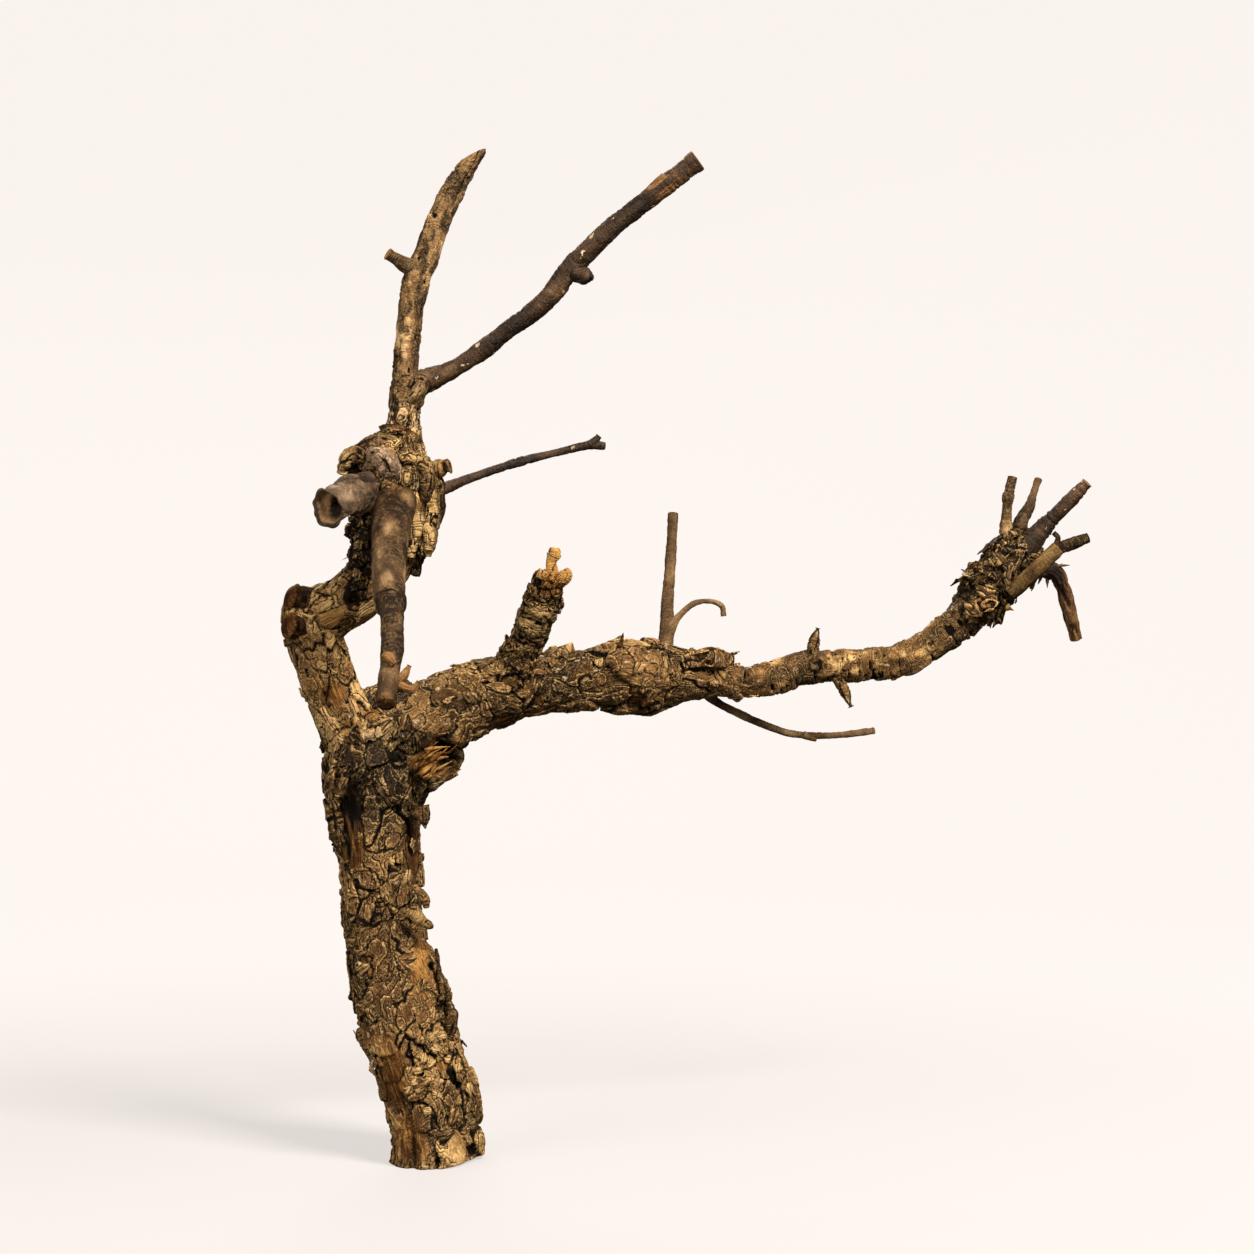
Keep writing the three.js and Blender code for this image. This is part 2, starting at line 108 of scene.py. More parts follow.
# %% A smooth line through a few points
def smooth_route(route, spacing):
    """Catmull-Rom curve through points of x, y, z and radius, cut into even steps of its length, in mm."""
    points = np.array(route, float)
    padded = np.vstack([2 * points[0] - points[1], points, 2 * points[-1] - points[-2]])
    a, b, c, d = (padded[i : len(padded) - 3 + i, None] for i in range(4))
    t = np.linspace(0, 1, 24, endpoint=False)[None, :, None]
    fine = 0.5 * (2 * b + (c - a) * t + (2 * a - 5 * b + 4 * c - d) * t**2 + (3 * b - a - 3 * c + d) * t**3)
    fine = np.vstack([fine.reshape(-1, 4), points[-1]])
    length = np.r_[0, np.cumsum(np.linalg.norm(np.diff(fine[:, :3], axis=0), axis=1))]
    along = np.linspace(0, length[-1], max(8, int(length[-1] / spacing)))
    return along, np.stack([np.interp(along, length, column) for column in fine.T], axis=1)


def unit(vectors):
    """Vectors of length one: each vector over its own length."""
    return vectors / np.maximum(np.linalg.norm(vectors, axis=-1, keepdims=True), 1e-12)


print("rings on a short line:", len(smooth_route([(0, 0, 0, 2), (5, 0, 5, 2), (5, 0, 12, 1)], 1.0)[0]))

# %% [markdown]
# ## The skin round the line
# Each ring is a circle square to the line. The last rings close the end: each is a share of the last radius
# wide and lies a share of it further on. One list makes a rounded end and the other a sawn one.


# %% Carry a circle along the line
ROUND_END = [(0.96, 0.12), (0.82, 0.24), (0.55, 0.34), (0.25, 0.38)]
CUT_END = [(0.985, 0.02), (0.93, 0.05), (0.6, 0.05), (0.3, 0.04)]


def tube(route, around, spacing=0.45, front=(0, -1, 0), depth=1.0, skew=0.0, flat=1.0, end=CUT_END):
    """Skin of a limb: centre plus radius times (cos of the angle times the front direction, plus sin of the
    angle times the direction square to it). Angle 0 faces front. depth stretches it from front to back, skew
    moves its right back and its left forward, and the last rows close its end."""
    along, path = smooth_route(route, spacing)
    centre, radius = path[:, :3], path[:, 3]
    ahead = unit(np.gradient(centre, axis=0))
    shrink, push = np.array(end).T
    along = np.r_[along, along[-1] + push * radius[-1]]
    centre = np.vstack([centre, centre[-1] + np.outer(push * radius[-1], ahead[-1])])
    ends = np.r_[np.zeros(len(radius)), np.ones(len(shrink))]
    girth = np.r_[radius, np.full(len(shrink), radius[-1])]
    radius = np.r_[radius, radius[-1] * shrink]
    ahead = np.vstack([ahead, np.repeat(ahead[-1:], len(shrink), axis=0)])
    front = np.array(front, float)
    facing = unit(front - ahead * (ahead @ front)[:, None])
    beside = np.cross(ahead, facing)
    angle = np.linspace(0, 2 * np.pi, around, endpoint=False)
    turned = np.stack([np.cos(angle), np.sin(angle)], axis=-1)[None]
    out = turned[..., :1] * facing[:, None] + turned[..., 1:] * beside[:, None] * flat
    out = out * [1, depth, 1]
    out[..., 1] += skew * out[..., 0]
    turned = turned * radius[:, None, None]
    shape = turned.shape[:2]
    straight = np.concatenate([turned, np.broadcast_to(along[:, None, None], shape + (1,))], axis=2)
    return {
        "skin": centre[:, None] + radius[:, None, None] * out,
        "out": unit(out),
        "ahead": np.broadcast_to(ahead[:, None], out.shape),
        "straight": straight,
        "along": np.broadcast_to(along[:, None], shape),
        "angle": np.broadcast_to(angle[None], shape),
        "radius": np.broadcast_to(girth[:, None], shape),
        "cut": np.broadcast_to(ends[:, None], shape),
        "poles": np.array([centre[0], centre[-1]]),
    }


def spot(limb, x, z, wide, high):
    """A soft patch on the side that faces front, round a point of the front view: 1 inside, 0 far outside."""
    away = ((limb["skin"][..., 0] - x) / wide) ** 2 + ((limb["skin"][..., 2] - z) / high) ** 2
    return np.exp(-(away**1.5)) * ease(-limb["out"][..., 1], -0.3, 0.2)


# %% [markdown]
# ## Plates
# Old bark breaks into plates. The plates here are the cells of a Voronoi pattern: each point belongs to the
# nearest plate centre, and a crack runs where two centres are equally near. Blender's Voronoi texture draws
# the same pattern, but here the distance to the crack is needed as a number, to lower the surface there.


# %% Plates and cracks
def plate_cells(points, size, salt):
    """Nearest plate of each point: mm to its crack, offset from its middle, and its five random numbers."""
    scaled = points / size
    home = np.floor(scaled)
    shape = points.shape[:-1]
    near, second = np.full(shape, 9.0), np.full(shape, 9.0)
    middle, other, owner = (np.zeros(points.shape) for _ in range(3))
    for step in np.ndindex(3, 3, 3):
        cell = home + np.array(step) - 1
        centre = cell + np.stack([cell_random(cell, salt + i) for i in range(3)], axis=-1)
        distance = np.linalg.norm(centre - scaled, axis=-1)
        first = distance < near
        runner = ~first & (distance < second)
        other = np.where(first[..., None], middle, np.where(runner[..., None], centre, other))
        second = np.where(first, near, np.where(runner, distance, second))
        middle = np.where(first[..., None], centre, middle)
        owner = np.where(first[..., None], cell, owner)
        near = np.where(first, distance, near)
    apart = np.maximum(np.linalg.norm(other - middle, axis=-1), 0.05)
    crack = (second**2 - near**2) / (2 * apart) * size
    chance = [cell_random(owner, salt + 11 + i) for i in range(5)]
    return crack, scaled - middle, chance


# %% [markdown]
# ## Old bark
# Each plate is a stack of thin layers that flake off one by one. The layers are a noise cut into steps, like
# terraces on a hill, and the edges of the steps are the ragged edges of the flakes. Plates and layers are
# pushed about by a swirl first, because straight edges look man-made. Some plates are gone and show the
# fibres under them. The marks tell the material the same: where the cracks are and which plates are pale.


# %% Height and marks of old bark
# One mark darkens the colour towards near black: it holds real stains and soiling, and also painted shade in
# holes, recesses and on sides turned away from the light.
MARKS = ("edge", "contour", "slope", "tone", "bare", "dirt_and_shade", "grey", "smooth")
SUNK = 0.7


def steepness(limb, values):
    """How fast values change over the skin, per mm: their differences along and round the grid."""
    along = np.gradient(values, axis=0) / np.maximum(np.gradient(limb["along"], axis=0), 0.05)
    around = (np.roll(values, -1, 1) - np.roll(values, 1, 1)) / (4 * np.pi * limb["radius"] / values.shape[1])
    return np.hypot(along, around)


def old_bark(limb, plate=7.0, rough=1.0, loose=0.08, longer=0.8, seed=0):
    """Height of old bark in mm, and its marks: lumps, plus each plate's own height and tilt, plus the steps of
    its layers, less the cracks. Plates that chance picks are missing, and fibres show there."""
    size = np.clip(limb["radius"] / 10, 0.4, 1.1)
    place = limb["straight"] * [1, 1, longer]
    place = (
        place + 0.3 * plate * swirl(place, 0.8 * plate, seed)
        + 0.08 * plate * swirl(place, 0.22 * plate, seed + 3)
    )
    crack, offset, chance = plate_cells(place, plate, seed + 5)
    tilt = sum((2 * chance[i] - 1) * offset[..., i] for i in range(3))
    gone = (chance[3] < loose).astype(float) * ease(crack, 0.1, 0.5)
    smooth_layers = 1.8 * layered_noise(place, plate, 2, seed + 40)
    layers = smooth_layers + 3 * chance[4]
    step = layers - np.floor(layers)
    fibre = layered_noise(limb["straight"] * [1, 1, 0.12], 1.1, 2, seed + 60)
    height = 0.9 * layered_noise(limb["straight"], 17, 2, seed + 70)
    terrace = 0.42 * (np.floor(layers) + ease(step, 0, 0.15)) + 0.1 * (step - 0.5)
    height += (1 - gone) * (0.7 * (chance[4] - 0.5) + 1.1 * tilt + terrace - 0.55)
    height += gone * (0.28 * fibre - 0.7) - 0.55 * np.exp(-((crack / 0.3) ** 2))
    height += 0.2 * layered_noise(limb["straight"], 1.8, 2, seed + 80)
    # The tone rises with the height: painted shade in the low places and painted light on the raised plates.
    tone = 0.22 + 0.42 * chance[0] + 0.2 * noise(limb["straight"], 12, seed + 90) + 0.2 * height
    marks = {
        "edge": np.minimum(crack, 3) + 0.6 * (chance[1] < 0.25),
        "contour": layers + 0.15 * fibre,
        "slope": np.clip(steepness(limb, smooth_layers), 0.25, 1.4),
        "tone": tone,
        "bare": 0.7 * gone,
        "dirt_and_shade": 0.4 * gone,
        "own": chance[2],
    }
    return rough * size * (height - SUNK), marks


def dark_plates(marks, patchiness):
    """Which plates are dark: 1 where the plate's own random number plus the patchy noise is large, else 0."""
    return ease(marks["own"] + 0.3 * patchiness, 0.36, 0.44)


# %% [markdown]
# ## Young bark and knotted wood
# Shoots and twigs are smooth, with wrinkles round them and fine grooves along them. Both are noises folded at
# zero: the fold is a sharp line that wanders. The knotted wood of the burl uses the same fold, drawn out
# along the limb, so that ridges and furrows run side by side.


# %% Height and marks of young bark
def young_bark(limb, wrinkle=0.3, groove=0.0, lumps=0.4, seed=0):
    """Height of smooth bark in mm, and its marks: broad lumps, wrinkles that run round the limb, and grooves
    that run along it. A wrinkle is a noise squeezed along the limb and folded at zero."""
    straight = limb["straight"]
    bend = straight + 0.8 * swirl(straight, 4, seed)
    across = np.abs(layered_noise(bend * [0.22, 0.22, 1], 1.9, 2, seed + 5))
    lengthwise = np.abs(layered_noise(bend * [1, 1, 0.1], 1.3, 2, seed + 15))
    patch = ease(noise(straight, 6, seed + 25), -0.4, 0.5)
    fold = np.exp(-((across / 0.1) ** 2)) * patch
    line = np.exp(-((lengthwise / 0.12) ** 2))
    height = lumps * layered_noise(straight, 7, 3, seed + 35)
    height += wrinkle * (ease(across, 0, 0.5) * patch - fold) - groove * line
    height += 0.06 * layered_noise(straight, 0.9, 2, seed + 45)
    layers = 2.5 * layered_noise(bend * [0.6, 0.6, 1], 4, 2, seed + 65)
    marks = {
        "edge": np.minimum(
            3 * across + (1 - patch) + max(0, 0.3 - wrinkle), 2 * lengthwise + max(0, 0.5 - 2.5 * groove)
        ),
        "contour": layers,
        "slope": np.clip(steepness(limb, layers), 0.25, 1.4),
        # The tone rises with the height: painted shade in the low places and painted light on the lumps.
        "tone": 0.5 + 0.45 * layered_noise(straight * [1, 1, 0.5], 5, 3, seed + 55) + 0.2 * height,
        "smooth": np.ones(across.shape),
    }
    return height, marks


def gnarled(limb, size, seed):
    """Height of knotted wood in mm, and its marks: a noise drawn out along the limb and folded at zero, so that
    dark furrows run between pale ridges. The tone follows the fold, so the dark of the furrows is painted shade
    and the pale of the ridges painted light."""
    bend = limb["straight"] * [1, 1, 0.45] + swirl(limb["straight"], 5, seed)
    ridge = np.abs(layered_noise(bend, size, 3, seed + 5))
    height = 1.5 * ease(ridge, 0, 0.5) - 0.9 + 0.5 * noise(limb["straight"], 5, seed + 9)
    marks = {
        "edge": 2.4 * ridge,
        "contour": 4 * ridge,
        "slope": np.full(ridge.shape, 1.2),
        "tone": 0.05 + 1.3 * ridge + 0.25 * noise(limb["straight"], 4, seed + 11),
    }
    return height, marks


# %% [markdown]
# ## Marks with ragged borders
# Weather doesn't work in neat ovals. So a soft patch gets a ragged border before it is used, and a crack is
# opened by bringing its edge near, which is the number that the material draws dark as painted shade. Where
# two kinds of bark meet, their marks are mixed by the same share as their heights.


# %% Change marks by shares
def open_cracks(marks, share):
    """Brings the crack edge close wherever the share is near 1, which the material draws dark as painted shade.
    """
    marks["edge"] = np.minimum(marks["edge"], 2 * (1 - share))


def ragged(limb, share, seed):
    """The same share with a ragged border: noise is added along the border, and the sum is cut to a step."""
    rough = layered_noise(limb["straight"], 3.5, 3, seed) * ease(share, 0.02, 0.25)
    return ease(share + 0.5 * rough, 0.4, 0.6)


def mix_marks(first, second, share):
    """Marks of two kinds of bark: the first times one less the share, plus the second times the share."""
    none = np.zeros(share.shape)
    return {name: first.get(name, none) * (1 - share) + second.get(name, none) * share for name in MARKS}


# %% [markdown]
# ## From grids to one mesh
# A limb's grid is closed with one point at each end, and the marks become point attributes of the mesh. Each
# attribute is read later by the material: where the cracks are, which plates are pale, where the wood is bare.
# All tubes, flakes and splinters of one limb go into a single mesh, because on the real branch they are one
# piece of wood.

# %% Join surfaces into a piece
PLAIN = {"edge": 2.0, "slope": 0.6}
made_pieces = []


def plain_marks(shape):
    """The marks of plain wood for that many points."""
    return {name: np.full(shape, PLAIN.get(name, 0.0)) for name in MARKS}


def ring_faces(rows, columns):
    """Faces of a closed tube: quads between its rings, and a fan of triangles from a point at each end."""
    i, j = np.meshgrid(np.arange(rows - 1), np.arange(columns), indexing="ij")
    k = (j + 1) % columns
    quads = np.stack(
        [i * columns + j, i * columns + k, (i + 1) * columns + k, (i + 1) * columns + j], axis=-1
    )
    start, last = rows * columns, (rows - 1) * columns
    j = np.arange(columns)
    k = (j + 1) % columns
    fans = np.vstack([
        np.stack([np.full(columns, start), k, j], axis=-1),
        np.stack([np.full(columns, start + 1), last + j, last + k], axis=-1),
    ])
    return [quads.reshape(-1, 4), fans]


def skin_part(limb, height, marks):
    """Grid of the limb moved outwards by the height, with a fan of triangles at each end."""
    points = (limb["skin"] + limb["out"] * height[..., None] * (1 - limb["cut"])[..., None]).reshape(-1, 3)
    given = plain_marks(height.shape) | marks
    given["bare"] = np.maximum(given["bare"], limb["cut"])
    flat_marks = {name: np.r_[given[name].ravel(), given[name][0, 0], given[name][-1, 0]] for name in MARKS}
    grain = np.vstack([limb["straight"].reshape(-1, 3), limb["straight"][0, 0], limb["straight"][-1, 0]])
    return np.vstack([points, limb["poles"]]), ring_faces(*height.shape), flat_marks, grain


def make_piece(node, slot, parts):
    """One mesh of all the parts, in metres, that stands for the CAD node and rides with it."""
    points = np.vstack([part[0] for part in parts])
    points[:, 2] = np.maximum(points[:, 2], 0)
    first = np.cumsum([0] + [len(part[0]) for part in parts])
    faces = [list(map(tuple, block + shift)) for part, shift in zip(parts, first) for block in part[1]]
    mesh = bpy.data.meshes.new(node + "_bark")
    mesh.from_pydata((points * MM).tolist(), [], sum(faces, []))
    for name in MARKS:
        attribute = mesh.attributes.new(name, "FLOAT", "POINT")
        attribute.data.foreach_set(
            "value", np.concatenate([part[2][name] for part in parts]).astype(np.float32)
        )
    grain = mesh.attributes.new("grain", "FLOAT_VECTOR", "POINT")
    grain.data.foreach_set("vector", np.vstack([part[3] for part in parts]).astype(np.float32).ravel())
    mesh.shade_smooth()
    piece = bpy.data.objects.new(node + "_bark", mesh)
    bpy.context.scene.collection.objects.link(piece)
    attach(piece, "root")
    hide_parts(node)
    made_pieces.append((piece, slot))
    triangles = sum(len(face) - 2 for block in faces for face in block)
    print(f"{node}: {triangles} triangles, {np.round(points.max(0) - points.min(0), 1)} mm")


# %% [markdown]
# ## Small growths
# Buds, spurs, folds and scales are all short tubes with young bark. One function makes such a part, and what
# differs is its route, how wrinkled, grooved and lumpy it is, and a little function that paints its marks.


# %% A short tube with young bark
def growth(route, around, bark, seed, paint=None, **shape):
    """A tube with young bark, ready for a mesh: bark is its wrinkle, groove and lumps, and paint gives new
    marks from the tube, its height and its marks."""
    limb = tube(route, around, **shape)
    height, marks = young_bark(limb, *bark, seed=seed)
    painted = paint(limb, height, marks) if paint else {}
    marks |= {name: value + np.zeros(height.shape) for name, value in painted.items()}
    return skin_part(limb, height, marks)


# %% [markdown]
# ## Loose flakes
# Along its outline the bark is ragged, because small flakes curl away from the wood. Moving the skin in and
# out can't make a flake that overhangs, so flakes are separate little sheets, held at one edge and lifted at
# the other. There are hundreds, so every one has only a few dozen faces.

# %% Flakes
FLAKE_ROWS, FLAKE_COLUMNS = 5, 4
FLAKE_POINTS = 2 * FLAKE_ROWS * FLAKE_COLUMNS


def sheet_faces(rows, columns):
    """Faces of a closed sheet: a grid on top, the same grid below turned over, and a rim between them."""
    index = np.arange(rows * columns).reshape(rows, columns)
    top = np.stack([index[:-1, :-1], index[1:, :-1], index[1:, 1:], index[:-1, 1:]], axis=-1).reshape(-1, 4)
    ring = np.r_[index[0, :-1], index[:-1, -1], index[-1, :0:-1], index[:0:-1, 0]]
    below = rows * columns
    rim = np.stack([ring, np.roll(ring, -1), np.roll(ring, -1) + below, ring + below], axis=-1)
    return np.vstack([top, top[:, ::-1] + below, rim])


def flakes(limb, height, marks, count, size, lift, seed, where=None, pale=0.0, stray=np.pi):
    """Curled sheets on the skin: a small grid along and across the limb, raised at one end by the lift times
    a power of the way along it, and bent down at its sides. where is the chance of a flake at each point, and
    stray is how far a flake may turn from pointing back along the limb."""
    chance = np.random.default_rng(seed)
    weight = (np.ones(height.shape) if where is None else where) * (1 - limb["cut"])
    weight[:3] = 0
    picked = chance.choice(weight.size, count, p=(weight / weight.sum()).ravel())
    flat = lambda values: values.reshape(-1, values.shape[-1])[picked]
    normal, ahead = flat(limb["out"]), flat(limb["ahead"])
    root = flat(limb["skin"]) + normal * height.ravel()[picked][:, None]
    turn = np.pi + chance.uniform(-stray, stray, count)[:, None]
    side = unit(np.cross(ahead, normal))
    ahead = unit(np.cross(normal, side))
    along, across = np.cos(turn) * ahead + np.sin(turn) * side, np.cos(turn) * side - np.sin(turn) * ahead
    a, b = np.meshgrid(np.linspace(0, 1, FLAKE_ROWS), np.linspace(-1, 1, FLAKE_COLUMNS), indexing="ij")
    each = (count, 1, 1)
    uneven = chance.uniform(0.7, 1.15, (2, count, FLAKE_ROWS, FLAKE_COLUMNS))
    big = size * chance.uniform(0.55, 1.35, each)
    reach, spread = big * (a * uneven[0] - 0.25), big * 0.55 * b * uneven[1] * (1.1 - 0.45 * a**2)
    rise = lift * chance.uniform(0.2, 1.2, each) * a**1.6 - 0.1 * big * b**2 * chance.uniform(-1, 1, each)
    thick = 0.32 * (1 - 0.55 * np.maximum(a, np.abs(b) ** 2))
    layer = [
        root[:, None, None] + reach[..., None] * along[:, None, None]
        + spread[..., None] * across[:, None, None]
        + (rise + sign * thick)[..., None] * normal[:, None, None]
        for sign in (1, -1)
    ]
    points = np.stack(layer, axis=1).reshape(-1, 3)
    shift = FLAKE_POINTS * np.arange(count)[:, None, None]
    faces = (sheet_faces(FLAKE_ROWS, FLAKE_COLUMNS)[None, :, ::-1] + shift).reshape(-1, 4)
    own = lambda values: np.repeat(values, FLAKE_POINTS, axis=0)
    over = lambda grid: np.tile(grid.ravel(), 2 * count)
    made = plain_marks(len(points))
    made["tone"] = pale + own(chance.uniform(0.15, 0.85, count)) + over(0.25 * np.maximum(a, np.abs(b)) ** 3)
    made["contour"] = over(2.2 * a + 0.6 * b) + own(chance.uniform(0, 9, count))
    made["edge"] = over(0.2 + 2 * a)
    dirt_and_shade = marks.get("dirt_and_shade", np.zeros(height.shape)).ravel()[picked] * chance.uniform(0.5, 1.5, count)
    made["dirt_and_shade"] = np.clip(own(dirt_and_shade) * over(1.25 - 0.55 * a), 0, 1)
    grain = own(flat(limb["straight"])) + np.random.default_rng(seed).normal(0, 0.4, (len(points), 3))
    return points, [faces], made, grain


# %% [markdown]
# ## Splinters
# Where the wood is torn, thin splinters stand up. Each is a bent five-sided spike, so dozens cost little.

# %% Splinters
SPLINTER_RINGS, SPLINTER_SIDES = 6, 5
SPLINTER_POINTS = SPLINTER_RINGS * SPLINTER_SIDES + 2


def splinters(roots, directions, lengths, widths, seed, dark=0.0):
    """Pointed slivers of torn wood: five-sided rings along a bent line, thinner towards the tip."""
    chance = np.random.default_rng(seed)
    roots, directions = np.array(roots, float), unit(np.array(directions, float))
    count = len(roots)
    side = unit(np.cross(directions, unit(chance.normal(size=(count, 3)))))
    across = np.cross(directions, side)
    t = np.linspace(0, 1, SPLINTER_RINGS)
    bow = chance.uniform(-0.18, 0.18, (count, 1)) * t**2
    lengths, widths = np.broadcast_to(lengths, count), np.broadcast_to(widths, count)
    line = t[None, :, None] * directions[:, None] + bow[..., None] * side[:, None]
    centre = roots[:, None] + lengths[:, None, None] * line
    turn = np.linspace(0, 2 * np.pi, SPLINTER_SIDES, endpoint=False)[:, None]
    ring = np.cos(turn) * side[:, None, :] + 0.5 * np.sin(turn) * across[:, None, :]
    thin = widths[:, None] * (1 - t[None] ** 1.5 * 0.9) * chance.uniform(0.75, 1.2, (count, SPLINTER_RINGS))
    points = (centre[:, :, None] + thin[..., None, None] * ring[:, None]).reshape(count, -1, 3)
    points = np.concatenate([points, centre[:, :1], centre[:, -1:]], axis=1).reshape(-1, 3)
    shift = SPLINTER_POINTS * np.arange(count)[:, None, None]
    blocks = ring_faces(SPLINTER_RINGS, SPLINTER_SIDES)
    faces = [(block[None] + shift).reshape(-1, block.shape[1]) for block in blocks]
    made = plain_marks(len(points))
    made["bare"] = np.ones(len(points))
    made["tone"] = np.repeat(chance.uniform(0.2, 1, count), SPLINTER_POINTS)
    made["dirt_and_shade"] = np.full(len(points), dark)
    grain = np.repeat(chance.uniform(0, 60, (count, 3)), SPLINTER_POINTS, axis=0)
    return points, faces, made, grain + np.tile(np.linspace(0, 1, SPLINTER_POINTS), count)[:, None]


# %% [markdown]
# ## The trunk
# The trunk leans a little and is sawn off square at the foot, so its first ring is level and lies on the
# floor. Its bark is the oldest: cracked plates, a stripped fibrous patch low on the left, dark damp bark under
# the fork, and a strip on the upper left that has come loose and hangs away from the wood.

# %% Trunk: tube and bark
trunk_route = [
    (0, 0, 0, 14.6), (-0.3, 0, 3, 14.6), (-1.2, 0, 8, 14.4), (-3, 0, 17.5, 14.3), (-6.8, 0, 30, 14.1),
    (-10.5, 0, 42, 14.6), (-13.2, 0, 54.5, 13.8), (-16, 0, 66.5, 12.7), (-17.6, 1, 84.5, 12.6),
    (-18.5, 2, 101.5, 13), (-18.5, 3, 111.5, 15.3), (-17.5, 3, 121.5, 15.3), (-15.5, 3, 133, 11),
]
trunk = tube(trunk_route, 230, spacing=0.46, depth=1.2, skew=0.3, end=ROUND_END)
height, marks = old_bark(trunk, plate=8.0, seed=100)
print("trunk bark from", height.min().round(2), "to", height.max().round(2), "mm")

# %% [markdown]
# ## Where the trunk has lost its bark
# Low on the left a patch is stripped to the fibres, further up a pale and a smooth strip show, and beside the
# fork the wood is sunk. Fibres are a noise drawn out along the trunk. In each patch the height of the bark
# fades out and that of the fibres fades in.

# %% Trunk: bare patches
stripped = 0.8 * np.maximum(spot(trunk, -13, 28, 4.5, 12), spot(trunk, -8, 9, 5.5, 9))
pale_strip = spot(trunk, -4.5, 60, 3, 8)
smooth_strip = spot(trunk, -5.5, 96, 3.5, 10)
fibres = layered_noise(trunk["straight"] * [1, 1, 0.1] + 1.2 * swirl(trunk["straight"], 9, 190), 1.7, 3, 180)
bare_wood = np.clip(stripped + pale_strip + smooth_strip, 0, 1)
height = height * (1 - 0.8 * bare_wood) + bare_wood * (0.8 * fibres - 0.5)
marks["bare"] = np.maximum(marks["bare"], bare_wood)
marks["edge"] = np.where(bare_wood > 0.5, 2.0, marks["edge"])
recess = ragged(trunk, 1.1 * spot(trunk, -26.5, 105, 5, 15), 186)
height = height * (1 - recess) + recess * (0.6 * fibres - 1.6)
marks["bare"] = np.maximum(marks["bare"], 0.85 * recess)
marks["edge"] = np.where(recess > 0.5, 2.0, marks["edge"])
open_cracks(marks, np.maximum(bare_wood * ease(-fibres, 0.3, 0.8), recess * ease(-fibres, 0.0, 0.5)))
print("share of the trunk without bark:", (marks["bare"] > 0.5).mean().round(3))

# %% [markdown]
# ## Dark places on the trunk
# Under the fork whole plates are dark and the wood is greyish. The sunk recess, a narrow cleft that runs up
# from the foot and a band down the left side get painted shade. The bark is thinner close to the saw cut,
# which keeps the outline of the foot true.

# %% Trunk: dark places
# A patchy noise; under the fork whole plates are darker and the wood greyer.
patchiness = layered_noise(trunk["straight"], 7, 3, 185)
marks["dirt_and_shade"] = np.clip(
    (0.52 + 0.28 * dark_plates(marks, patchiness) + 0.2 * patchiness) * np.clip(1.6 * spot(trunk, -19, 118, 17, 16), 0, 1)
    # Painted shade in the sunk recess, darkest in its grooves.
    + recess * (0.3 + 0.6 * ease(-fibres, -0.4, 0.4))
    # Painted shade where the limb leaves the trunk; the smooth strip is darker.
    + 0.9 * ragged(trunk, spot(trunk, -25, 116, 5, 4), 187) + 0.65 * smooth_strip
    # Painted shade: a patchy band down the trunk's left side, away from the light.
    + 0.5 * spot(trunk, -26, 60, 4, 30) * ease(patchiness, -0.2, 0.4), 0, 1)
marks["tone"] = np.clip(marks["tone"] + 0.5 * spot(trunk, -0.5, 31, 5, 9) + 0.3 * pale_strip, 0, 1)
marks["grey"] = 0.7 * spot(trunk, -15, 117, 14, 14) * ease(patchiness, -0.3, 0.3)
height *= ease(trunk["skin"][..., 2], -0.5, 3) * 0.6 + 0.4
# Painted shade in a narrow sunk cleft that runs up from the foot.
cleft = spot(trunk, -7.2, 2, 1.1, 8)
height -= 1.4 * cleft
marks["dirt_and_shade"] = np.maximum(marks["dirt_and_shade"], 0.75 * cleft)
print("share of the trunk that is dark:", (marks["dirt_and_shade"] > 0.4).mean().round(3))

# %% [markdown]
# ## Loose strip and shards
# On the upper left a strip of bark hangs away from the wood, split into planks. On the right a few shards and
# curled chips stand off, with painted shade on their sides that face back. Each row of the table is a route,
# how wide the shard is for its thickness, how dirty it is, and how pale.

